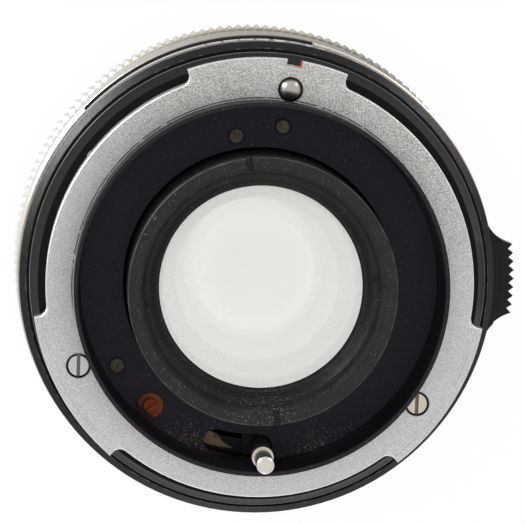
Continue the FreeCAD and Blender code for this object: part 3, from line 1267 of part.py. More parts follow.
# Stop-down ring: turns on the neck of the baffle plate and drives the rotor's post with a fork
def stop_down_ring():
    body = ring(NECK_R + RUN, LEVER_RING_R, LEVER_Z, LEVER_TOP_Z)
    root_r = LEVER_RING_R - LEVER_ROOT
    arm = radial_block(root_r, LEVER_ARM_END_R, LEVER_ARM_W, LEVER_Z, LEVER_TOP_Z, PIN_ANGLE)
    body = body.fuse(arm.common(disc(LEVER_ARM_END_R, LEVER_Z - PAST, LEVER_TOP_Z + PAST)))
    low = LEVER_TOP_Z - FOCUS_TRAVEL - PRONG_HOLD
    offset = POST_R + RUN + PRONG_W / 2
    for side in (-1, 1):
        prong = Part.makeBox(PRONG_OUTER_R - PRONG_INNER_R, PRONG_W, LEVER_TOP_Z - low,
                             Vector(PRONG_INNER_R, side * offset - PRONG_W / 2, low))
        root = Part.makeBox(PRONG_OUTER_R - root_r, PRONG_W, LEVER_T,
                            Vector(root_r, side * offset - PRONG_W / 2, LEVER_Z))
        for piece in (prong, root):
            piece.rotate(Vector(), Vector(0, 0, 1), POST_ANGLE)
            body = body.fuse(piece)
    ear_end = HOOK_CIRCLE_R + 2 * HOOK_R
    ear = radial_block(root_r, ear_end, 4 * HOOK_R, LEVER_Z, LEVER_TOP_Z, HOOK_ANGLE)
    hook = disc(HOOK_R, SPRING_Z - HOOK_END, LEVER_Z, at(HOOK_CIRCLE_R, HOOK_ANGLE))
    body = body.fuse([ear, hook]).removeSplitter()
    return body.cut(disc(PIN_TIP_R, LEVER_Z - PAST, LEVER_TOP_Z + PAST, at(PIN_CIRCLE_R, PIN_ANGLE)))


def stop_down_pin():
    centre = at(PIN_CIRCLE_R, PIN_ANGLE)
    body = disc(PIN_TIP_R, LEVER_Z, LEVER_TOP_Z, centre)
    body = body.fuse(disc(PIN_SHOULDER_R, LEVER_TOP_Z, PIN_SHOULDER_Z, centre))
    point_z = PIN_TIP_Z - PIN_POINT
    tip = disc(PIN_TIP_R, PIN_SHOULDER_Z, point_z, centre)
    point = Part.makeCone(PIN_TIP_R, PIN_TIP_R - PIN_POINT, PIN_POINT, centre + Vector(0, 0, point_z))
    return body.fuse([tip, point]).removeSplitter()


def lever_retainer():
    top = LEVER_Z - LEVER_RETAINER_GAP
    return ring(NECK_R, LEVER_RETAINER_R, top - LEVER_RETAINER_T, top)


def spring_anchor():
    centre = at(ANCHOR_CIRCLE_R, ANCHOR_ANGLE)
    head = disc(ANCHOR_HEAD_R, PLATE_TOP_Z, PLATE_TOP_Z + FLOOR_SCREW_HEAD_T, centre)
    return head.fuse(disc(ANCHOR_SHANK_R, SPRING_Z - HOOK_END, PLATE_TOP_Z, centre))


def return_spring():
    """Coil drawn as a tube, with a straight leg and an eye at each end."""
    start = at(HOOK_CIRCLE_R, HOOK_ANGLE, SPRING_Z)
    end = at(ANCHOR_CIRCLE_R, ANCHOR_ANGLE, SPRING_Z)
    along = (end - start).normalize()
    pieces = []
    for place, way, post_r in ((start, along, HOOK_R), (end, along * -1, ANCHOR_SHANK_R)):
        eye_r = post_r + SPRING_WIRE_R + TOUCH
        pieces.append(Part.makeTorus(eye_r, SPRING_WIRE_R, place))
        leg_start = place + way * eye_r
        pieces.append(Part.makeCylinder(SPRING_WIRE_R, SPRING_END - eye_r + SPRING_R, leg_start, way))
    length = (end - start).Length - 2 * SPRING_END
    coil = Part.makeCylinder(SPRING_R, length, start + along * SPRING_END, along)
    return coil.fuse(pieces).removeSplitter()


MOUNT = [mount_ring, mount_screws, locating_stud, baffle_tube, baffle_plate, baffle_screws, adjusting_screw,
         lacquer_seal, mount_housing, housing_screws]
BARREL = [fixed_barrel, index_ring, scale_panel, index_ring_screws, lever_retainer, spring_anchor,
          return_spring, sleeve_retainer, guide_keys, focus_stop_screw, click_ball, click_spring]
CONTROLS = [aperture_ring, aperture_cam_ring, aperture_link_pin, stop_down_ring, stop_down_pin]
FOCUSING = [focus_grip_ring, distance_ring, distance_ring_screws, focus_sleeve, grip_screws]
BLOCK = [inner_helicoid, lens_block, block_lock_ring, filter_ring, filter_ring_screws, name_ring]
FRONT_GLASS = [front_retaining_ring, front_element, front_spacer, front_doublet_crown, front_doublet_flint]
IRIS = [iris_base, iris_rotor, rotor_post, iris_cover, iris_cover_screws]
REAR_GLASS = [rear_cell, rear_doublet_flint, rear_doublet_crown, rear_spacer, rear_element,
              rear_retaining_ring]
for build in MOUNT + BARREL + CONTROLS + FOCUSING + BLOCK + FRONT_GLASS + IRIS + REAR_GLASS:
    save(build.__name__, build())
for number in range(BLADE_COUNT):
    save(f"iris_blade_{number + 1}", iris_blade(number))
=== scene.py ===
import math

import bpy
from mathutils import Matrix, Vector


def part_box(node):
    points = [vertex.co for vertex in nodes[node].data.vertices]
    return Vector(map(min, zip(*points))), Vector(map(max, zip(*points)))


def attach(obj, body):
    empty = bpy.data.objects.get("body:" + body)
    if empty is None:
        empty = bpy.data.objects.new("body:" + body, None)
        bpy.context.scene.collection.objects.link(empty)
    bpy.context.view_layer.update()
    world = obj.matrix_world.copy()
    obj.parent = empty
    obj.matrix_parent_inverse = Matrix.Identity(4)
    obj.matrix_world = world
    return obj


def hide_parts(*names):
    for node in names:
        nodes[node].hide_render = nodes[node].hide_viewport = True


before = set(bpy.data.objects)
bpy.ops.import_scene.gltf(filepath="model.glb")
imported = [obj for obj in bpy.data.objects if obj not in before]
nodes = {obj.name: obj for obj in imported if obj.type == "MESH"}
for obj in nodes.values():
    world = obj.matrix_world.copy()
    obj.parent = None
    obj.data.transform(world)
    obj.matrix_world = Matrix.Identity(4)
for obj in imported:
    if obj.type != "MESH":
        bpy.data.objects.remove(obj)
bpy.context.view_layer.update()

bpy.ops.object.select_all(action="DESELECT")


# The camera looks down on the rear mount from 450 mm above the rim of the baffle tube, tilted 8 degrees
# towards the top of the picture and a little to its left, through a long lens.
rim_centre = Vector((0, 0, 0.0465))
picture_centre = Vector((-0.000075, 0.0036, 0.0465))
camera_distance = 0.45
camera_tilt = math.radians(8.2)
camera_way = Vector((-0.403 * math.sin(camera_tilt), 0.915 * math.sin(camera_tilt), math.cos(camera_tilt)))
camera_data = bpy.data.cameras.new("camera")
camera_data.lens = 248.3
camera_data.sensor_width = 36
camera_data.clip_start = 0.01
camera = bpy.data.objects.new("camera", camera_data)
bpy.context.scene.collection.objects.link(camera)
camera.location = rim_centre + camera_distance * camera_way
forward = (picture_centre - camera.location).normalized()
right = forward.cross(Vector((0, 1, 0))).normalized()
camera.rotation_euler = Matrix((right, right.cross(forward), -forward)).transposed().to_euler()
bpy.context.scene.camera = camera
bpy.context.scene.view_settings.view_transform = "Standard"


# Fixed barrel and sliding helicoid: tubes of aluminium bar, bored and turned bright, with fine tool marks
# round every face. Their rear ends, which show through the slots of the mount, are painted near black as
# painted shade.
class Signal:
    """A value on its way between two nodes of a finish; arithmetic on it adds Math nodes."""

    def __init__(self, finish, socket):
        self.finish = finish
        self.socket = socket

    def math(self, operation, *values):
        return self.finish.node("ShaderNodeMath", {"operation": operation}, dict(enumerate(values)))

    def __add__(self, other):
        return self.math("ADD", self, other)

    def __sub__(self, other):
        return self.math("SUBTRACT", self, other)

    def __mul__(self, other):
        return self.math("MULTIPLY", self, other)

    def __truediv__(self, other):
        return self.math("DIVIDE", self, other)

    def __pow__(self, other):
        return self.math("POWER", self, other)

    def __radd__(self, other):
        return self.math("ADD", other, self)

    def __rsub__(self, other):
        return self.math("SUBTRACT", other, self)

    def __rmul__(self, other):
        return self.math("MULTIPLY", other, self)

    def __lt__(self, other):
        return self.math("LESS_THAN", self, other)

    def __gt__(self, other):
        return self.math("GREATER_THAN", self, other)

    def __abs__(self):
        return self.math("ABSOLUTE", self)


class Finish:
    """The nodes of one finish, from the object's own coordinates to its shader."""

    def __init__(self, name):
        self.material = bpy.data.materials.new(name)
        self.material.use_nodes = True
        self.tree = self.material.node_tree
        self.shader = self.tree.nodes["Principled BSDF"]
        self.place = self.node("ShaderNodeTexCoord", {}, {}, "Object")
        parts = self.node("ShaderNodeSeparateXYZ", {}, {"Vector": self.place})
        outputs = parts.socket.node.outputs
        self.x, self.y, self.z = [Signal(self, outputs[axis]) for axis in "XYZ"]
        self.radius = (self.x * self.x + self.y * self.y) ** 0.5
        self.angle = self.y.math("ARCTAN2", self.y, self.x) * math.degrees(1)

    def node(self, kind, settings, sockets, output=0):
        """Add a node: its settings are set first, then the values or links of its sockets."""
        made = self.tree.nodes.new(kind)
        for name, value in settings.items():
            setattr(made, name, value)
        for name, value in sockets.items():
            if isinstance(value, Signal):
                self.tree.links.new(value.socket, made.inputs[name])
            else:
                made.inputs[name].default_value = value
        return Signal(self, made.outputs[output])

    def blend(self, amount, first, second):
        """Mix of two colours."""
        pair = [value if isinstance(value, Signal) else (*value, 1.0) for value in (first, second)]
        return self.node("ShaderNodeMix", {"data_type": "RGBA"}, {0: amount, 6: pair[0], 7: pair[1]}, 2)

    def ramp(self, value, low, high):
        """0 below low, 1 above high, and smooth between; low may be the higher of the two."""
        return self.node("ShaderNodeMapRange", {"interpolation_type": "SMOOTHSTEP"},
                         {"Value": value, "From Min": low, "From Max": high})

    def band(self, value, centre, half_width):
        """1 at the centre of a band, fading to 0 at its edges."""
        return self.ramp(abs(value - centre), half_width, 0.0)

    def turned_by(self, degrees, half_turn=180.0):
        """Angle from a place on the ring, in degrees; with a smaller half turn it repeats round the ring."""
        return self.angle.math("WRAP", self.angle - degrees, half_turn, -half_turn)

    def distance(self, across, along):
        """Distance from a line along Z through the point (across, along)."""
        return ((self.x - across) * (self.x - across) + (self.y - along) * (self.y - along)) ** 0.5

    def grain(self, scale, detail=3.0, roughness=0.6):
        """Noise with scale clumps to the metre."""
        return self.node("ShaderNodeTexNoise", {}, {"Vector": self.place, "Scale": scale, "Detail": detail,
                                                   "Roughness": roughness})

    def specks(self, scale, threshold):
        """Sparse grains of dust: the peaks of a fine noise above the threshold."""
        return self.ramp(self.grain(scale, 2.0, 0.8), threshold, threshold + 0.06)

    def tool_marks(self, pitch):
        """Fine rings left by turning, on flat faces along the radius and on walls along the axis."""
        return self.node("ShaderNodeTexNoise", {"noise_dimensions": "1D"},
                         {"W": (self.radius + self.z) / pitch, "Scale": 1.0, "Detail": 2.0})

    def set(self, settings, bump=None, depth=0.00001):
        """Set the shader's sockets, with a bump map of the given depth in metres."""
        for name, value in settings.items():
            if isinstance(value, Signal):
                self.tree.links.new(value.socket, self.shader.inputs[name])
            else:
                self.shader.inputs[name].default_value = value
        if bump is not None:
            normal = self.node("ShaderNodeBump", {}, {"Strength": 1.0, "Distance": depth, "Height": bump})
            self.tree.links.new(normal.socket, self.shader.inputs["Normal"])

    def dress(self, *names):
        """Give the finish to CAD nodes."""
        for name in names:
            for slot in nodes[name].material_slots:
                slot.material = self.material


rear_end_level = 0.0325
turned = Finish("turned_aluminium")
turned_marks = turned.tool_marks(0.00018)
turned_stain = turned.grain(160.0)
# Painted shade: the rear ends go near black where they show through the slots.
turned_rear_shade = turned.ramp(turned.z, rear_end_level, rear_end_level + 0.0003)
turned_tone = turned.blend(turned_stain, (0.48, 0.48, 0.48), (0.60, 0.60, 0.59))
turned.set({"Base Color": turned.blend(turned_rear_shade, turned_tone, (0.012, 0.0115, 0.011)),
            "Metallic": 1.0 - 0.9 * turned_rear_shade, "Specular IOR Level": 0.2,
            "Roughness": 0.3 + 0.15 * turned_stain}, turned_marks, 0.000008)
turned.dress("fixed_barrel", "inner_helicoid")


# Bronze leaf: a thin curved leaf riveted to the helicoid's rear end, blanked from sheet. Its rounded
# left end shows in the pin's slot; it has a brown film of age and one dark stain. The outline is in
# millimetres from the axis and degrees round it.
leaf_outline = ((20.6, 250.0), (20.5, 252.6), (20.6, 255.6), (21.15, 256.9), (21.5, 258.3), (21.9, 260.6),
                (22.05, 262.0), (22.15, 259.5), (22.2, 256.5), (22.2, 253.5), (22.15, 250.5), (21.6, 249.2))
leaf_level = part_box("inner_helicoid")[1][2]
leaf_thickness = 0.00012
bpy.ops.mesh.primitive_circle_add(vertices=len(leaf_outline), radius=0.01, fill_type="NGON",
                                  location=(0, 0, 0))
leaf = bpy.context.object
leaf.name = "bronze_leaf"
for corner, (leaf_radius, leaf_angle) in zip(leaf.data.vertices, leaf_outline):
    leaf_turn = math.radians(leaf_angle)
    corner.co = (0.001 * leaf_radius * math.cos(leaf_turn), 0.001 * leaf_radius * math.sin(leaf_turn),
                 leaf_level)
bpy.ops.object.mode_set(mode="EDIT")
bpy.ops.mesh.select_all(action="SELECT")
bpy.ops.mesh.extrude_region_move(TRANSFORM_OT_translate={"value": (0, 0, leaf_thickness)})
bpy.ops.mesh.bevel(offset=0.00003, segments=2)
bpy.ops.mesh.select_all(action="SELECT")
bpy.ops.mesh.normals_make_consistent(inside=False)
bpy.ops.object.mode_set(mode="OBJECT")
bronze = Finish("bronze")
bronze_film = bronze.grain(1100.0, 4.0)
bronze_stain = bronze.ramp(bronze.distance(-0.0053, -0.0201), 0.0006, 0.0002)
bronze_tone = bronze.blend(bronze_film, (0.19, 0.125, 0.085), (0.32, 0.23, 0.165))
bronze.set({"Base Color": bronze.blend(bronze_stain * 0.6, bronze_tone, (0.05, 0.03, 0.02)),
            "Metallic": 0.8, "Roughness": 0.36 + 0.2 * bronze_film}, bronze_film, 0.000008)
leaf.data.materials.append(bronze.material)
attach(leaf, "optical_block")


# Focusing sleeve, its retainer, guide keys and iris plates: yellow brass, turned or blanked and left
# bare, with a thin brown film of age and oil. The sleeve's rear end is painted near black as painted shade.
brass = Finish("aged_brass")
brass_film = brass.ramp(brass.grain(340.0, 4.0), 0.35, 0.75)
brass_marks = brass.tool_marks(0.00015)
brass_tone = brass.blend(brass_film, (0.45, 0.30, 0.13), (0.24, 0.15, 0.075))
# Painted shade: the rear ends go near black where they show through the slots.
brass_rear_shade = brass.ramp(brass.z, rear_end_level - 0.0003, rear_end_level)
brass.set({"Base Color": brass.blend(brass_rear_shade, brass_tone, (0.012, 0.011, 0.01)),
           "Metallic": 1.0 - 0.9 * brass_rear_shade, "Specular IOR Level": 0.2,
           "Roughness": 0.3 + 0.2 * brass_film}, brass_marks, 0.000006)
brass.dress("focus_sleeve", "sleeve_retainer", "guide_keys", "iris_base", "iris_rotor")


# Stop-down ring, its retainer, the iris cover and the aperture's cam ring: brass, chemically blackened so
# that nothing shines behind the slots, and oily.
blackened = Finish("blackened_brass")
blackened_film = blackened.grain(700.0, 4.0)
blackened.set({"Base Color": blackened.blend(blackened_film, (0.009, 0.008, 0.0075), (0.022, 0.018, 0.016)),
               "Metallic": 0.2, "Specular IOR Level": 0.15, "Roughness": 0.32 + 0.2 * blackened_film},
              blackened_film, 0.000006)
blackened.dress("stop_down_ring", "lever_retainer", "iris_cover", "aperture_cam_ring")


# Lens block, rear cell and the rings inside them: turned aluminium, anodised black and ribbed against
# stray light. The rear cell, with its two spanner slots, is a warm greyish black and has caught dust and
# fine scratches. Painted shade darkens the walls of its slots and the throat under the glass, and a faint
# painted highlight lies along its lip.
slot_angle = 96.0
slot_half_width = 0.0004
throat_level = 0.044
cell_black = Finish("cell_black")
cell_marks = cell_black.tool_marks(0.00022)
cell_haze = cell_black.ramp(cell_black.grain(420.0, 4.0), 0.3, 0.8)
cell_slot = cell_black.ramp(cell_black.distance(-0.0017, 0.0162), 0.0022, 0.0003)
cell_low = cell_black.ramp(cell_black.distance(0.0005, -0.0155), 0.0075, 0.001)
cell_dust = cell_black.grain(4700.0, 2.0, 0.8) + 0.04 * cell_slot + 0.065 * cell_low
cell_dust = cell_black.ramp(cell_dust, 0.69, 0.72)
cell_hair = cell_black.band(cell_black.node("ShaderNodeTexNoise", {}, {
    "Vector": cell_black.place, "Scale": 900.0, "Detail": 1.0, "Distortion": 1.4}), 0.5, 0.007)
cell_hairs = cell_hair * cell_black.ramp(cell_black.grain(330.0, 1.0), 0.63, 0.66)
cell_tone = cell_black.blend(cell_haze * 0.5 + 0.5 * cell_marks, (0.0105, 0.0098, 0.0094),
                             (0.032, 0.0304, 0.029))
slot_turn = (cell_black.angle - slot_angle) * math.radians(1)
slot_side = cell_black.radius * slot_turn.math("SINE", slot_turn)
# Painted shade: the walls of the spanner slots are near black.
slot_wall_shade = cell_black.band(abs(slot_side), slot_half_width, 0.00012) * (cell_black.radius > 0.0149)
# Painted shade: the throat under the glass is darker.
cell_throat_shade = cell_black.ramp(cell_black.radius, 0.0144, 0.0137) * (cell_black.z > throat_level)
cell_line = cell_black.band(cell_black.radius, 0.0147, 0.0001)
cell_line = cell_line + cell_black.band(cell_black.radius, 0.0153, 0.00012)
cell_tone = cell_black.blend(cell_throat_shade * 0.7, cell_tone, (0.004, 0.0036, 0.0036))
cell_tone = cell_black.blend(cell_line * 0.6 * (cell_black.z > throat_level), cell_tone,
                             (0.003, 0.0026, 0.0026))
cell_tone = cell_black.blend(slot_wall_shade * 0.95, cell_tone, (0.001, 0.001, 0.001))
# Painted highlight: a faint pale line along the cell's lip.
cell_lip_highlight = cell_black.band(cell_black.radius, 0.01674, 0.00009) * (cell_black.z > 0.0476)
cell_tone = cell_black.blend(cell_lip_highlight * 0.22 * cell_haze, cell_tone, (0.5, 0.49, 0.47))
cell_black.set({"Base Color": cell_black.blend(cell_dust * 0.8 + 0.45 * cell_hairs, cell_tone,
                                               (0.50, 0.47, 0.42)),
                "Roughness": 0.44 + 0.2 * cell_haze, "Specular IOR Level": 0.22},
               cell_marks + 0.5 * cell_dust, 0.000012)
cell_black.dress("lens_block", "block_lock_ring", "front_retaining_ring", "front_spacer", "rear_cell",
                 "rear_spacer", "rear_retaining_ring")


# Six glass elements in four groups, the two pairs each cemented into one: ground and polished to round
# faces and coated. Each is spun from its half outline, so its faces are smooth.
def spun_glass(name, rim, front, rear, *stands_for):
    """Lens of a rim radius between two faces, each (vertex level, radius of curve, clear radius), in mm."""
    face_steps = 24
    faces = []
    for level, curve, clear in (front, rear):
        reaches = [clear * step / face_steps for step in range(face_steps + 1)]
        faces.append([(reach, level + curve - math.copysign((curve * curve - reach * reach) ** 0.5, curve))
                      for reach in reaches])
    outline = faces[0] + [(rim, faces[0][-1][1]), (rim, faces[1][-1][1])] + faces[1][::-1]
    bpy.ops.object.select_all(action="DESELECT")
    bpy.ops.mesh.primitive_circle_add(vertices=len(outline), radius=0.001 * rim, location=(0, 0, 0))
    piece = bpy.context.object
    piece.name = name
    for point, (reach, height) in zip(piece.data.vertices, outline):
        point.co = (0.001 * reach, 0, 0.001 * height)
    bpy.ops.object.mode_set(mode="EDIT")
    bpy.ops.mesh.select_all(action="SELECT")
    bpy.ops.mesh.spin(steps=128, angle=2 * math.pi, center=(0, 0, 0), axis=(0, 0, 1))
    bpy.ops.mesh.select_all(action="SELECT")
    bpy.ops.mesh.remove_doubles(threshold=0.000002)
    bpy.ops.mesh.delete_loose(use_verts=True, use_edges=True, use_faces=False)
    bpy.ops.mesh.select_all(action="SELECT")
    bpy.ops.mesh.normals_make_consistent(inside=False)
    bpy.ops.object.mode_set(mode="OBJECT")
    bpy.ops.object.shade_smooth_by_angle(angle=math.radians(35))
    glass = Finish(name)
    haze = glass.grain(160.0, 2.0)
    glass_speck = glass.specks(1900.0, 0.74)
    # Painted light: the glass is clearer towards its edge, so that the edge looks brighter.
    glass_edge_light = glass.ramp(glass.distance(0.0, 0.0012), 0.003, 0.0105)
    glass_tint = glass.blend(haze, (0.960, 0.953, 0.942), (0.972, 0.965, 0.956))
    glass.set({"Base Color": glass.blend(glass_edge_light, glass_tint, (0.999, 0.996, 0.990)),
               "Roughness": 0.04 * glass_speck, "IOR": 1.62, "Transmission Weight": 1.0,
               "Specular IOR Level": 0.02})
    piece.data.materials.append(glass.material)
    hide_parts(*stands_for)
    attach(piece, "optical_block")


spun_glass("front_lens", 16.3, (7.3, 31.0, 16.3), (12.1, 84.0, 16.3), "front_element")
spun_glass("front_pair", 13.8, (12.4, 20.7, 13.8), (21.0, 13.3, 10.2), "front_doublet_crown",
           "front_doublet_flint")
spun_glass("rear_pair", 13.2, (33.6, -15.6, 10.2), (41.4, -20.9, 13.2), "rear_doublet_flint",
           "rear_doublet_crown")
spun_glass("rear_lens", 13.4, (41.7, 97.6, 13.4), (45.3, -43.7, 13.4), "rear_element")


# Iris blades: six leaves of thin blued steel, punched and tumbled to a dull dark grey.
blade_steel = Finish("blued_steel")
blade_film = blade_steel.grain(700.0, 4.0)
blade_steel.set({"Base Color": blade_steel.blend(blade_film, (0.05, 0.052, 0.06), (0.085, 0.085, 0.09)),
                 "Metallic": 0.8, "Roughness": 0.42 + 0.12 * blade_film}, blade_film, 0.000004)
blade_steel.dress(*[f"iris_blade_{number}" for number in range(1, 7)])


# Inner screws, springs, click parts and the stop-down pin: turned from steel and nickel plated, polished
# once and now finely scratched, with brown grime round the pin's shoulder.
nickel = Finish("nickel_plate")
nickel_film = nickel.grain(900.0, 4.0)
nickel_scratch = nickel.ramp(nickel.node("ShaderNodeTexNoise", {}, {
    "Vector": nickel.node("ShaderNodeVectorMath", {"operation": "MULTIPLY"},
                          {0: nickel.place, 1: (9000.0, 1500.0, 4000.0)}),
    "Scale": 1.0, "Detail": 2.0}), 0.6, 0.7)
pin_foot = 0.0445
pin_hidden = 0.0386
nickel_grime = nickel.ramp(nickel.z, pin_foot + 0.0012, pin_foot) * (nickel.z > pin_hidden)
nickel_tone = nickel.blend(nickel_film, (0.52, 0.47, 0.41), (0.80, 0.74, 0.67))
nickel.set({"Base Color": nickel.blend(nickel_grime * (0.3 + 0.9 * nickel_film), nickel_tone,
                                       (0.03, 0.024, 0.018)),
            "Metallic": 1.0, "Roughness": 0.2 + 0.16 * nickel_film + 0.1 * nickel_scratch},
           nickel_film - nickel_scratch, 0.000004)
nickel.dress("housing_screws", "index_ring_screws", "return_spring", "focus_stop_screw", "click_ball",
             "click_spring", "aperture_link_pin", "stop_down_pin", "distance_ring_screws", "grip_screws",
             "filter_ring_screws", "rotor_post", "iris_cover_screws")


# Focus grip: aluminium, straight-knurled with 160 teeth and anodised clear, so it is bright on the
# crests and grey in the roots as painted shade. A warm beige painted reflection lies over it except at the
# left, and its right side is darkened as painted shade.
knurl_crest = 0.0312
knurl_root = 0.0307
grip = Finish("bright_knurl")
# Painted shade: the roots of the knurl are darker, less so towards the left.
grip_root_shade = grip.ramp(grip.radius, knurl_crest - 0.00015, knurl_root) * (grip.radius > knurl_root - 0.0001)
grip_film = grip.grain(1500.0, 4.0)
grip_marks = grip.tool_marks(0.00012)
# Painted reflection: a warm beige over the grip, fading out towards the left.
grip_warm_reflection = grip.ramp(grip.x + 0.004 * grip.grain(90.0, 2.0), -0.024, 0.004)
# Painted shade: the right side of the grip is darker.
grip_side_shade = grip.ramp(grip.x, 0.004, 0.016)
grip_tone = grip.blend(grip_film, (0.66, 0.65, 0.62), (0.86, 0.85, 0.82))
grip_tone = grip.blend(grip_warm_reflection * (0.6 + 0.4 * grip_film), grip_tone, (0.47, 0.39, 0.26))
grip_tone = grip.blend(grip_side_shade, grip_tone, (0.23, 0.21, 0.18))
grip.set({"Base Color": grip.blend(grip_root_shade * (0.2 + 0.6 * grip_warm_reflection), grip_tone, (0.11, 0.10, 0.085)),
          "Metallic": 1.0, "Roughness": 0.3 + 0.16 * grip_film}, grip_marks, 0.000006)
grip.dress("focus_grip_ring")


# Index ring: turned aluminium, clear anodised to a satin silver, with a window milled for the scale strip.
# The sill and cheeks of its window are painted near black as painted shade.
window_angle = 105.75
sill_level = 0.0283
index = Finish("index_silver")
index_film = index.grain(1500.0, 4.0)
index_marks = index.tool_marks(0.00012)
# Painted shade: the sill of the window is near black.
index_sill_shade = index.ramp(abs(index.turned_by(window_angle)), 30.4, 29.9) * (index.radius > 0.03)
index_sill_shade = index_sill_shade * index.ramp(index.z, sill_level + 0.00055, sill_level + 0.00015) * (
    index.z > sill_level)
index_tone = index.blend(index_film, (0.50, 0.455, 0.41), (0.70, 0.64, 0.58))
index.set({"Base Color": index.blend(index_sill_shade, index_tone, (0.018, 0.016, 0.014)),
           "Metallic": 1.0 - 0.9 * index_sill_shade, "Specular IOR Level": 0.2,
           "Roughness": 0.3 + 0.14 * index_film}, index_marks, 0.000006)
index.dress("index_ring")


# Distance ring, filter ring and name ring: aluminium, turned and anodised black, satin, with pale specks
# of dust. The distance ring carries two rows of plain figures.
def ring_figures(name, body, colour, radius, level, height, marks):
    """Figures cut round a ring and filled with paint, upright towards the front; marks are (text, angle)."""
    digit_share = 0.7
    made = []
    for text, angle in marks:
        bpy.ops.object.select_all(action="DESELECT")
        bpy.ops.object.text_add(location=(0, 0, 0))
        figure = bpy.context.object
        figure.data.body = text
        figure.data.size = height / digit_share
        figure.data.align_x = "CENTER"
        figure.data.align_y = "CENTER"
        figure.data.extrude = 0.00002
        figure.data.resolution_u = 3
        bpy.ops.object.convert(target="MESH")
        figure = bpy.context.object
        for point in figure.data.vertices:
            turn = math.radians(angle) - point.co.x / radius
            reach = radius + point.co.z
            point.co = (reach * math.cos(turn), reach * math.sin(turn), level - point.co.y)
        made.append(figure)
    for figure in made:
        figure.select_set(True)
    bpy.context.view_layer.objects.active = made[0]
    bpy.ops.object.join()
    piece = bpy.context.object
    piece.name = name
    bpy.ops.object.mode_set(mode="EDIT")
    bpy.ops.mesh.select_all(action="SELECT")
    bpy.ops.mesh.remove_doubles(threshold=0.000001)
    bpy.ops.mesh.normals_make_consistent(inside=False)
    bpy.ops.object.mode_set(mode="OBJECT")
    paint = Finish(name)
    paint_wear = paint.grain(2600.0, 3.0)
    faded = tuple(0.6 * part for part in colour)
    paint.set({"Base Color": paint.blend(paint_wear, colour, faded), "Roughness": 0.45 + 0.2 * paint_wear},
              paint_wear, 0.000006)
    piece.data.materials.append(paint.material)
    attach(piece, body)


ring_black = Finish("ring_black")
ring_marks = ring_black.tool_marks(0.00014)
ring_film = ring_black.grain(500.0, 4.0)
ring_dust = ring_black.specks(4200.0, 0.70)
ring_tone = ring_black.blend(ring_film, (0.010, 0.010, 0.0112), (0.022, 0.022, 0.0245))
ring_black.set({"Base Color": ring_black.blend(ring_dust * 0.25, ring_tone, (0.4, 0.4, 0.4)),
                "Roughness": 0.34 + 0.16 * ring_film, "Specular IOR Level": 0.35},
               ring_marks + 0.4 * ring_dust, 0.000008)
ring_black.dress("distance_ring", "filter_ring", "name_ring")
index_angle = 86.0
figure_radius = 0.0303
figure_height = 0.0014
white_paint = (0.72, 0.72, 0.70)
ring_figures("metre_figures", "focus_ring", white_paint, figure_radius, 0.0091, figure_height,
             [("0.5", index_angle - 214), ("0.6", index_angle - 181), ("0.8", index_angle - 151),
              ("1", index_angle - 118), ("1.5", index_angle - 83), ("3", index_angle - 46),
              ("8", index_angle - 19)])
ring_figures("foot_figures", "focus_ring", (0.55, 0.30, 0.04), figure_radius, 0.0068, figure_height,
             [("1.75", index_angle - 214), ("2", index_angle - 181), ("2.5", index_angle - 150),
              ("3", index_angle - 126), ("5", index_angle - 83), ("10", index_angle - 46),
              ("25", index_angle - 22)])


# Scale strip: a satin silver strip bent into the window of the index ring, with black depth ticks and a
# small red index printed on it.
strip = Finish("scale_strip")
strip_film = strip.grain(1200.0, 3.0)
strip_tick = strip.ramp(abs(strip.turned_by(index_angle, 2.0)), 0.34, 0.22)
strip_ticks = strip_tick * strip.ramp(abs(strip.turned_by(index_angle)), 17.0, 16.6) * (strip.z > 0.0293)
strip_red = strip.ramp(abs(strip.turned_by(index_angle)), 0.55, 0.4)
strip_tone = strip.blend(strip_film, (0.62, 0.61, 0.58), (0.78, 0.77, 0.74))
strip_print = strip.blend(strip_ticks, strip_tone, (0.02, 0.02, 0.02))
strip.set({"Base Color": strip.blend(strip_red, strip_print, (0.45, 0.03, 0.02)), "Metallic": 0.7,
           "Roughness": 0.38 + 0.1 * strip_film}, strip_film, 0.000004)
strip.dress("scale_panel")


# Aperture ring: aluminium, milled with its tab from one bar and anodised black all over, with grainy
# painted highlights where light falls along it, and a patchy pale ring on its rear face, partly rubbed and
# partly painted highlight. The plain stop numbers are cut round its outer wall and filled with white paint.
key_side = 143.0
weak_side = 38.0
stops = Finish("aperture_black")
stops_marks = stops.tool_marks(0.00014)
stops_film = stops.grain(600.0, 4.0)
stops_dust = stops.specks(4200.0, 0.70)
# Partly rubbed, partly painted highlight: a patchy pale ring on the rear face.
stops_rub_and_highlight = stops.band(stops.radius, 0.0295, 0.0001) * stops.ramp(stops.grain(900.0, 3.0), 0.45, 0.7)
stops_tone = stops.blend(stops_film, (0.0055, 0.0053, 0.0058), (0.013, 0.0125, 0.0132))
stops_tone = stops.blend(stops_rub_and_highlight * 0.3, stops_tone, (0.4, 0.4, 0.39))
stops_tone = stops.blend(stops_dust * 0.25, stops_tone, (0.4, 0.4, 0.4))
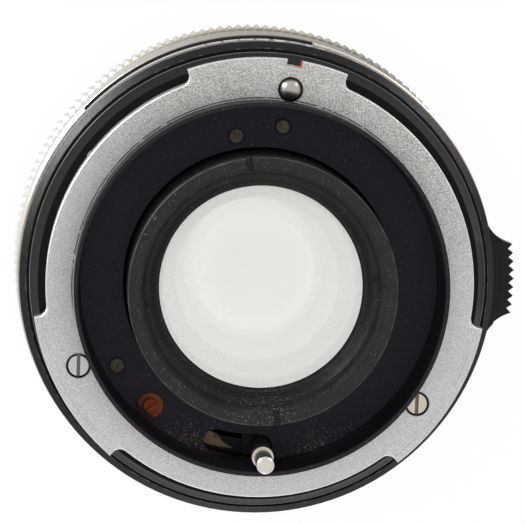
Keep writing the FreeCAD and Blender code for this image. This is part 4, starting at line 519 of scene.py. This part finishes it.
# Painted highlights: grainy pale bands where the lamps fall along the bevel.
stops_lit = stops.band(stops.turned_by(key_side), 0.0, 34.0)
stops_lit = stops_lit + 0.7 * stops.band(stops.turned_by(weak_side), 0.0, 24.0)
stops_lit = stops_lit * stops.ramp(stops.radius, 0.0292, 0.0297) * stops.ramp(stops.z, 0.0318, 0.0322)
stops_tone = stops.blend(stops_lit * stops.ramp(stops.grain(5200.0, 2.0, 0.8), 0.2, 0.8), stops_tone,
                         (0.16, 0.16, 0.16))
stops.set({"Base Color": stops_tone,
           "Roughness": 0.26 + 0.16 * stops_film, "Specular IOR Level": 0.17},
          stops_marks + 0.4 * stops_dust + 1.5 * stops.grain(6000.0, 2.0), 0.000012)
stops.dress("aperture_ring")
stop_marks = ("1.8", "2.8", "4", "5.6", "8", "11", "16")
stop_step = 62.0 / (len(stop_marks) - 1)
ring_figures("stop_numbers", "aperture_ring", white_paint, 0.03035, 0.0331, 0.0016,
             [(mark, index_angle - stop_step * place) for place, mark in enumerate(stop_marks)])


# Mount housing: the black flange under the mount ring, turned and anodised a bluish black, with dust in
# its corners and a thin pale line along its outer edge, partly worn and partly painted highlight.
flange_edge = 0.02903
housing = Finish("housing_black")
housing_marks = housing.tool_marks(0.00016)
housing_film = housing.grain(380.0, 4.0)
housing_dust = housing.specks(4600.0, 0.69)
# Partly wear, partly painted highlight: a thin pale line along the flange's outer edge.
housing_edge_wear_and_highlight = housing.band(housing.radius, flange_edge, 0.00009) * housing.ramp(housing.z, 0.0359, 0.0361)
housing_tone = housing.blend(housing_film, (0.0028, 0.0026, 0.0034), (0.0075, 0.0070, 0.0085))
housing_worn_and_lit = housing.blend(housing_edge_wear_and_highlight * (0.1 + 0.4 * housing_film), housing_tone, (0.42, 0.42, 0.41))
housing.set({"Base Color": housing.blend(housing_dust * 0.35, housing_worn_and_lit, (0.42, 0.42, 0.40)),
             "Roughness": 0.24 + 0.16 * housing_film, "Specular IOR Level": 0.09},
            housing_marks + 0.5 * housing_dust, 0.000008)
housing.dress("mount_housing")


# Baffle tube and plate: thin turned tube and its floor, in a matt bluish black against reflections. Dust
# lies in the corner of the floor, and pale grains stick along the joint with the mount ring. The tube's
# outer wall and rings round the screw heads in the floor are darkened as painted shade, and a faint
# painted highlight lies on its rim.
tube_radius = 0.0235
tube_rim = 0.0465
above_floor = 0.042
floor_heads = ((-0.00286, 0.01868), (-0.01801, -0.0104), (0.0030, 0.01983))
baffle = Finish("baffle_black")
baffle_film = baffle.grain(260.0, 4.0)
baffle_corner = baffle.ramp(baffle.radius, 0.0196, 0.0224) * (baffle.z < above_floor)
baffle_lower = baffle.ramp(baffle.y, -0.012, -0.021)
baffle_heaps = (baffle.ramp(baffle.distance(-0.0085, -0.0195), 0.0055, 0.0005)
                + baffle.ramp(baffle.distance(0.0070, -0.0195), 0.0045, 0.0005))
baffle_dust = baffle.ramp(baffle.grain(4800.0, 2.0, 0.8) + 0.055 * baffle_corner * baffle_lower
                          + 0.06 * baffle_heaps * (baffle.z < above_floor), 0.70, 0.728)
# Painted highlight: a faint pale line on the tube's rim.
baffle_rim_highlight = baffle.ramp(baffle.z, tube_rim - 0.00015, tube_rim - 0.00005)
baffle_foot = baffle.band(baffle.radius, tube_radius, 0.0002) * baffle.ramp(baffle.z, 0.0426, 0.0421)
baffle_grains = baffle_foot * baffle.ramp(baffle.grain(2600.0, 3.0, 0.8), 0.5, 0.62)
baffle_tone = baffle.blend(baffle_film * 0.6 + 0.4 * baffle.grain(3800.0, 2.0), (0.0165, 0.0142, 0.0215),
                           (0.041, 0.036, 0.050))
# Painted shade: the tube's outer wall is darker.
baffle_shaded_and_worn = baffle.blend(baffle.ramp(baffle.radius, 0.0225, 0.0229) * 0.85, baffle_tone,
                           (0.0045, 0.004, 0.0055))
baffle_shaded_and_worn = baffle.blend(baffle_rim_highlight * 0.02, baffle_shaded_and_worn, (0.4, 0.4, 0.42))
baffle_shaded_and_worn = baffle.blend(baffle_grains * 0.6, baffle_shaded_and_worn, (0.5, 0.49, 0.47))
# Painted shade: a dark ring round each screw head in the floor.
for head_x, head_y in floor_heads:
    head_seat_shade = baffle.band(baffle.distance(head_x, head_y), 0.00095, 0.00035)
    baffle_shaded_and_worn = baffle.blend(head_seat_shade * 0.8, baffle_shaded_and_worn, (0.002, 0.0018, 0.002))
baffle_stain = baffle.ramp(baffle.distance(-0.0148, -0.0169), 0.0024, 0.0012) * (baffle.z < 0.04)
baffle_shaded_and_worn = baffle.blend(baffle_stain * baffle_film, baffle_shaded_and_worn, (0.035, 0.012, 0.007))
baffle.set({"Base Color": baffle.blend(baffle_dust * 0.85, baffle_shaded_and_worn, (0.50, 0.46, 0.40)),
            "Roughness": 0.46 + 0.14 * baffle_film, "Specular IOR Level": 0.18},
           baffle_film + 0.5 * baffle_dust, 0.00001)
baffle.dress("baffle_tube", "baffle_plate")


# Screws and spring anchor in the floor: turned steel, the screws slotted and the anchor's head plain, gone
# dull and brown with age.
dull = Finish("dull_steel")
dull_film = dull.ramp(dull.grain(1300.0, 4.0), 0.3, 0.7)
dull.set({"Base Color": dull.blend(dull_film, (0.035, 0.028, 0.024), (0.13, 0.105, 0.085)), "Metallic": 0.7,
          "Roughness": 0.4 + 0.2 * dull_film}, dull_film, 0.000012)
dull.dress("baffle_screws", "spring_anchor")


# Lacquer seal: a drop of orange-brown locking lacquer brushed over the adjusting screw and round it,
# thick on the right, thin at the lower left, with the screw's rim showing dark through it.
seal_circle = 0.0208
seal_turn = math.radians(228.4)
seal_x = seal_circle * math.cos(seal_turn)
seal_y = seal_circle * math.sin(seal_turn)
lacquer = Finish("locking_lacquer")
lacquer_pool = lacquer.grain(1400.0, 2.0)
lacquer_from = lacquer.distance(seal_x, seal_y)
lacquer_side = lacquer.ramp(lacquer.x, seal_x - 0.0006, seal_x + 0.0008)
lacquer_thick = lacquer_pool * 0.5 + 0.5 * lacquer_side
lacquer_rim = lacquer.band(lacquer_from, 0.00098, 0.00022) * (1.0 - 0.8 * lacquer_side)
lacquer_centre = lacquer.ramp(lacquer_from, 0.00095, 0.0008)
lacquer_gone = (seal_x - lacquer.x) + (seal_y - lacquer.y) + 0.0008 * lacquer_pool
lacquer_gone = lacquer.ramp(lacquer_gone, 0.0012, 0.0019)
lacquer_tone = lacquer.blend(lacquer_thick, (0.17, 0.048, 0.018), (0.37, 0.105, 0.028))
lacquer_tone = lacquer.blend(lacquer_centre * 0.8, lacquer_tone, (0.40, 0.062, 0.010))
lacquer_tone = lacquer.blend(lacquer_rim * 0.9, lacquer_tone, (0.02, 0.009, 0.006))
lacquer_tone = lacquer.blend(lacquer_gone * 0.9, lacquer_tone, (0.022, 0.012, 0.010))
lacquer.set({"Base Color": lacquer_tone, "Roughness": 0.3 + 0.2 * lacquer_pool, "Specular IOR Level": 0.12},
            lacquer_pool, 0.00006)
lacquer.dress("lacquer_seal", "adjusting_screw")


# Mount ring: brass, turned and milled to its three lugs, satin chromed. The chrome is finely speckled,
# lighter and less speckled towards the bottom and left as painted light, with painted highlights along its
# edges and painted shade round the fixings and in its joint with the baffle tube towards the top. The
# camera's claws have drawn faint arcs on the two lower lugs. Red paint is left in the index notch.
fixing_circle = 0.025
fixing_angles = (81.3, 203.5, 322.5)
notch_angle = fixing_angles[0]
lug_radius = 0.0287
collar_radius = 0.027
lug_angle = 88.0
lug_half_angle = 20.5
half_share = 60.0
chrome_face = 0.0416
satin = Finish("satin_chrome")
satin_speck = satin.ramp(satin.grain(6800.0, 3.0, 0.85), 0.36, 0.64)
satin_cloud = satin.grain(260.0, 4.0)
satin_pit = satin.specks(1500.0, 0.76)
satin_top = satin.ramp(satin.z, chrome_face, chrome_face + 0.0001)
# Painted light: the chrome is lighter and less speckled towards the bottom and left.
satin_lower_light = satin.ramp(satin.y + 0.3 * satin.x, 0.022, 0.003)
satin_turn = abs(satin.turned_by(lug_angle, half_share))
satin_lug = satin.ramp(satin_turn, lug_half_angle + 0.1, lug_half_angle - 0.1)
satin_arc = (satin.band(satin.radius, 0.0278, 0.00014) + satin.band(satin.radius, 0.0274, 0.00008)
             ) * (satin.y < 0.0) * satin_top * satin.ramp(satin.grain(300.0, 2.0), 0.4, 0.6)
# Painted highlight: pale lines along the edges of the lugs and the collar.
satin_edge_highlight = satin_lug * satin.band(satin.radius, lug_radius - 0.00002, 0.0001)
satin_edge_highlight = satin_edge_highlight + (1.0 - satin_lug) * satin.band(satin.radius, collar_radius - 0.00002, 0.0001)
satin_edge_highlight = satin_edge_highlight + satin.band(satin_turn, lug_half_angle - 0.1, 0.25) * (satin.radius > collar_radius)
satin_deep = satin.blend(satin_lower_light, (0.165, 0.162, 0.157), (0.40, 0.40, 0.398))
satin_light = satin.blend(satin_lower_light, (0.88, 0.87, 0.85), (0.73, 0.73, 0.728))
satin_tone = satin.blend(satin_speck * 0.75 + 0.25 * satin_cloud, satin_deep, satin_light)
satin_tone = satin.blend(satin_arc * 0.3, satin_tone, (0.2, 0.195, 0.18))
satin_tone = satin.blend(satin_edge_highlight * satin_top * 0.7, satin_tone, (0.82, 0.82, 0.81))
# Painted shade: a dark line in the joint with the baffle tube, towards the top.
satin_joint_shade = satin.band(satin.radius, 0.0237, 0.00016) * satin.ramp(satin.y - 0.5 * satin.x, 0.006, 0.012)
satin_joint_shade = satin_joint_shade * satin.ramp(satin.grain(800.0, 2.0), 0.36, 0.42) * satin_top
satin_tone = satin.blend(satin_joint_shade * 0.9, satin_tone, (0.008, 0.007, 0.006))
satin_tone = satin.blend(satin_pit * 0.7, satin_tone, (0.06, 0.055, 0.05))
# Painted shade: a dark ring round each fixing, in the gap round its head.
for fixing_angle in fixing_angles:
    from_fixing = satin.distance(fixing_circle * math.cos(math.radians(fixing_angle)),
                                 fixing_circle * math.sin(math.radians(fixing_angle)))
    satin_tone = satin.blend(satin.band(from_fixing, 0.0015, 0.0002) * 0.9, satin_tone, (0.012, 0.011, 0.01))
notch_side = satin.turned_by(notch_angle)
satin_paint = satin.ramp(abs(notch_side), 2.15, 1.95) * satin.ramp(satin.radius, 0.02785, 0.02795)
satin_paint = satin_paint * satin.ramp(satin.grain(2500.0, 3.0), 0.3, 0.45) * (
    0.35 + 0.65 * (notch_side < 0.0))
satin_tone = satin.blend(satin_paint, satin_tone, (0.42, 0.06, 0.05))
satin.set({"Base Color": satin_tone, "Metallic": 1.0 - satin_paint,
           "Roughness": 0.4 + 0.14 * satin_cloud - 0.1 * satin_speck}, satin_speck, 0.000012)
satin.dress("mount_ring")


# Mount screws and locating stud: steel, turned, nickel plated and polished. Slots and seats are darkened
# as painted shade, a dark painted reflection rings the stud's dome, and the right-hand screw has gone a
# warm beige.
stud_reach = 0.0016
mount_steel = Finish("mount_steel")
steel_film = mount_steel.grain(1400.0, 4.0)
# Painted shade: slots and seats below the face of the chrome are darkened.
steel_slot_shade = mount_steel.ramp(mount_steel.z, chrome_face + 0.00008, chrome_face) * (mount_steel.z > 0.04)
steel_warm = mount_steel.ramp(mount_steel.x, 0.015, 0.017)
steel_tone = mount_steel.blend(steel_film, (0.46, 0.458, 0.45), (0.60, 0.597, 0.585))
steel_tone = mount_steel.blend(steel_warm * 0.8, steel_tone, (0.60, 0.53, 0.43))
stud_from = mount_steel.distance(fixing_circle * math.cos(math.radians(notch_angle)),
                                 fixing_circle * math.sin(math.radians(notch_angle)))
# Painted reflection: a dark ring round the edge of the stud's dome.
stud_rim_reflection = mount_steel.ramp(stud_from, 0.00095, 0.00135) * (stud_from < stud_reach)
steel_tone = mount_steel.blend((stud_from < stud_reach) * 0.6, steel_tone, (0.36, 0.31, 0.26))
steel_tone = mount_steel.blend(stud_rim_reflection * 0.85, steel_tone, (0.05, 0.042, 0.035))
steel_dark_shade = steel_slot_shade * (stud_from > stud_reach)
mount_steel.set({"Base Color": mount_steel.blend(steel_dark_shade * 0.8, steel_tone, (0.045, 0.04, 0.035)),
                 "Metallic": 1.0, "Roughness": 0.26 + 0.14 * steel_film}, steel_film, 0.000005)
mount_steel.dress("mount_screws", "locating_stud")


# Floor and backdrop: a sheet of pale card, 0.05 mm under the front rim. To the camera and in reflections
# it shows the photo's white; it still takes the lens's shadow.
bpy.ops.object.select_all(action="DESELECT")
bpy.ops.mesh.primitive_plane_add(size=4.0, location=(0, 0, -0.00005))
floor = bpy.context.object
floor.name = "floor"
card = Finish("pale_card")
card_film = card.grain(300.0, 3.0)
card.set({"Base Color": card.blend(card_film, (0.86, 0.86, 0.85), (0.90, 0.90, 0.89)), "Roughness": 0.7},
         card_film, 0.00002)
rays = card.node("ShaderNodeLightPath", {}, {}).socket.node.outputs
seen = (Signal(card, rays["Is Camera Ray"]) + Signal(card, rays["Is Glossy Ray"])) * 0.9
glow = card.node("ShaderNodeEmission", {}, {"Color": (1.0, 1.0, 1.0, 1.0), "Strength": 1.04})
cover = card.node("ShaderNodeMixShader", {}, {0: seen})
card.tree.links.new(card.shader.outputs[0], cover.socket.node.inputs[1])
card.tree.links.new(glow.socket, cover.socket.node.inputs[2])
card.tree.links.new(cover.socket, card.tree.nodes["Material Output"].inputs["Surface"])
floor.data.materials.append(card.material)

world = bpy.data.worlds.new("studio")
world.use_nodes = True
bpy.context.scene.world = world
sky = world.node_tree
sky_rays = sky.nodes.new("ShaderNodeLightPath").outputs
sky_seen = sky.nodes.new("ShaderNodeMath")
sky_seen.operation = "MAXIMUM"
sky.links.new(sky_rays["Is Camera Ray"], sky_seen.inputs[0])
sky.links.new(sky_rays["Is Glossy Ray"], sky_seen.inputs[1])
sky_dim = sky.nodes["Background"]
sky_dim.inputs["Color"].default_value = (1.0, 1.0, 1.0, 1.0)
sky_dim.inputs["Strength"].default_value = 0.7
sky_white = sky.nodes.new("ShaderNodeBackground")
sky_white.inputs["Color"].default_value = (1.0, 1.0, 1.0, 1.0)
sky_white.inputs["Strength"].default_value = 1.0
sky_cover = sky.nodes.new("ShaderNodeMixShader")
sky.links.new(sky_seen.outputs[0], sky_cover.inputs[0])
sky.links.new(sky_dim.outputs[0], sky_cover.inputs[1])
sky.links.new(sky_white.outputs[0], sky_cover.inputs[2])
sky.links.new(sky_cover.outputs[0], sky.nodes["World Output"].inputs["Surface"])


# Three soft boxes low round the lens: one at the upper left, a weak one at the upper right and one at the
# bottom of the picture. They draw the edges of the black parts and light the knurl from the side.
lens_middle = Vector((0, 0, 0.03))
for light_name, light_place, light_size, light_power in (
        ("key_box", (-0.62, 0.47, 0.12), 0.3, 5.0),
        ("side_box", (0.60, 0.52, 0.10), 0.26, 0.9),
        ("low_box", (-0.1, -0.9, 0.2), 0.4, 1.5)):
    light_data = bpy.data.lights.new(light_name, "AREA")
    light_data.shape = "DISK"
    light_data.size = light_size
    light_data.energy = light_power
    light = bpy.data.objects.new(light_name, light_data)
    bpy.context.scene.collection.objects.link(light)
    light.location = light_place
    light.rotation_euler = (Vector(light_place) - lens_middle).to_track_quat("Z", "Y").to_euler()
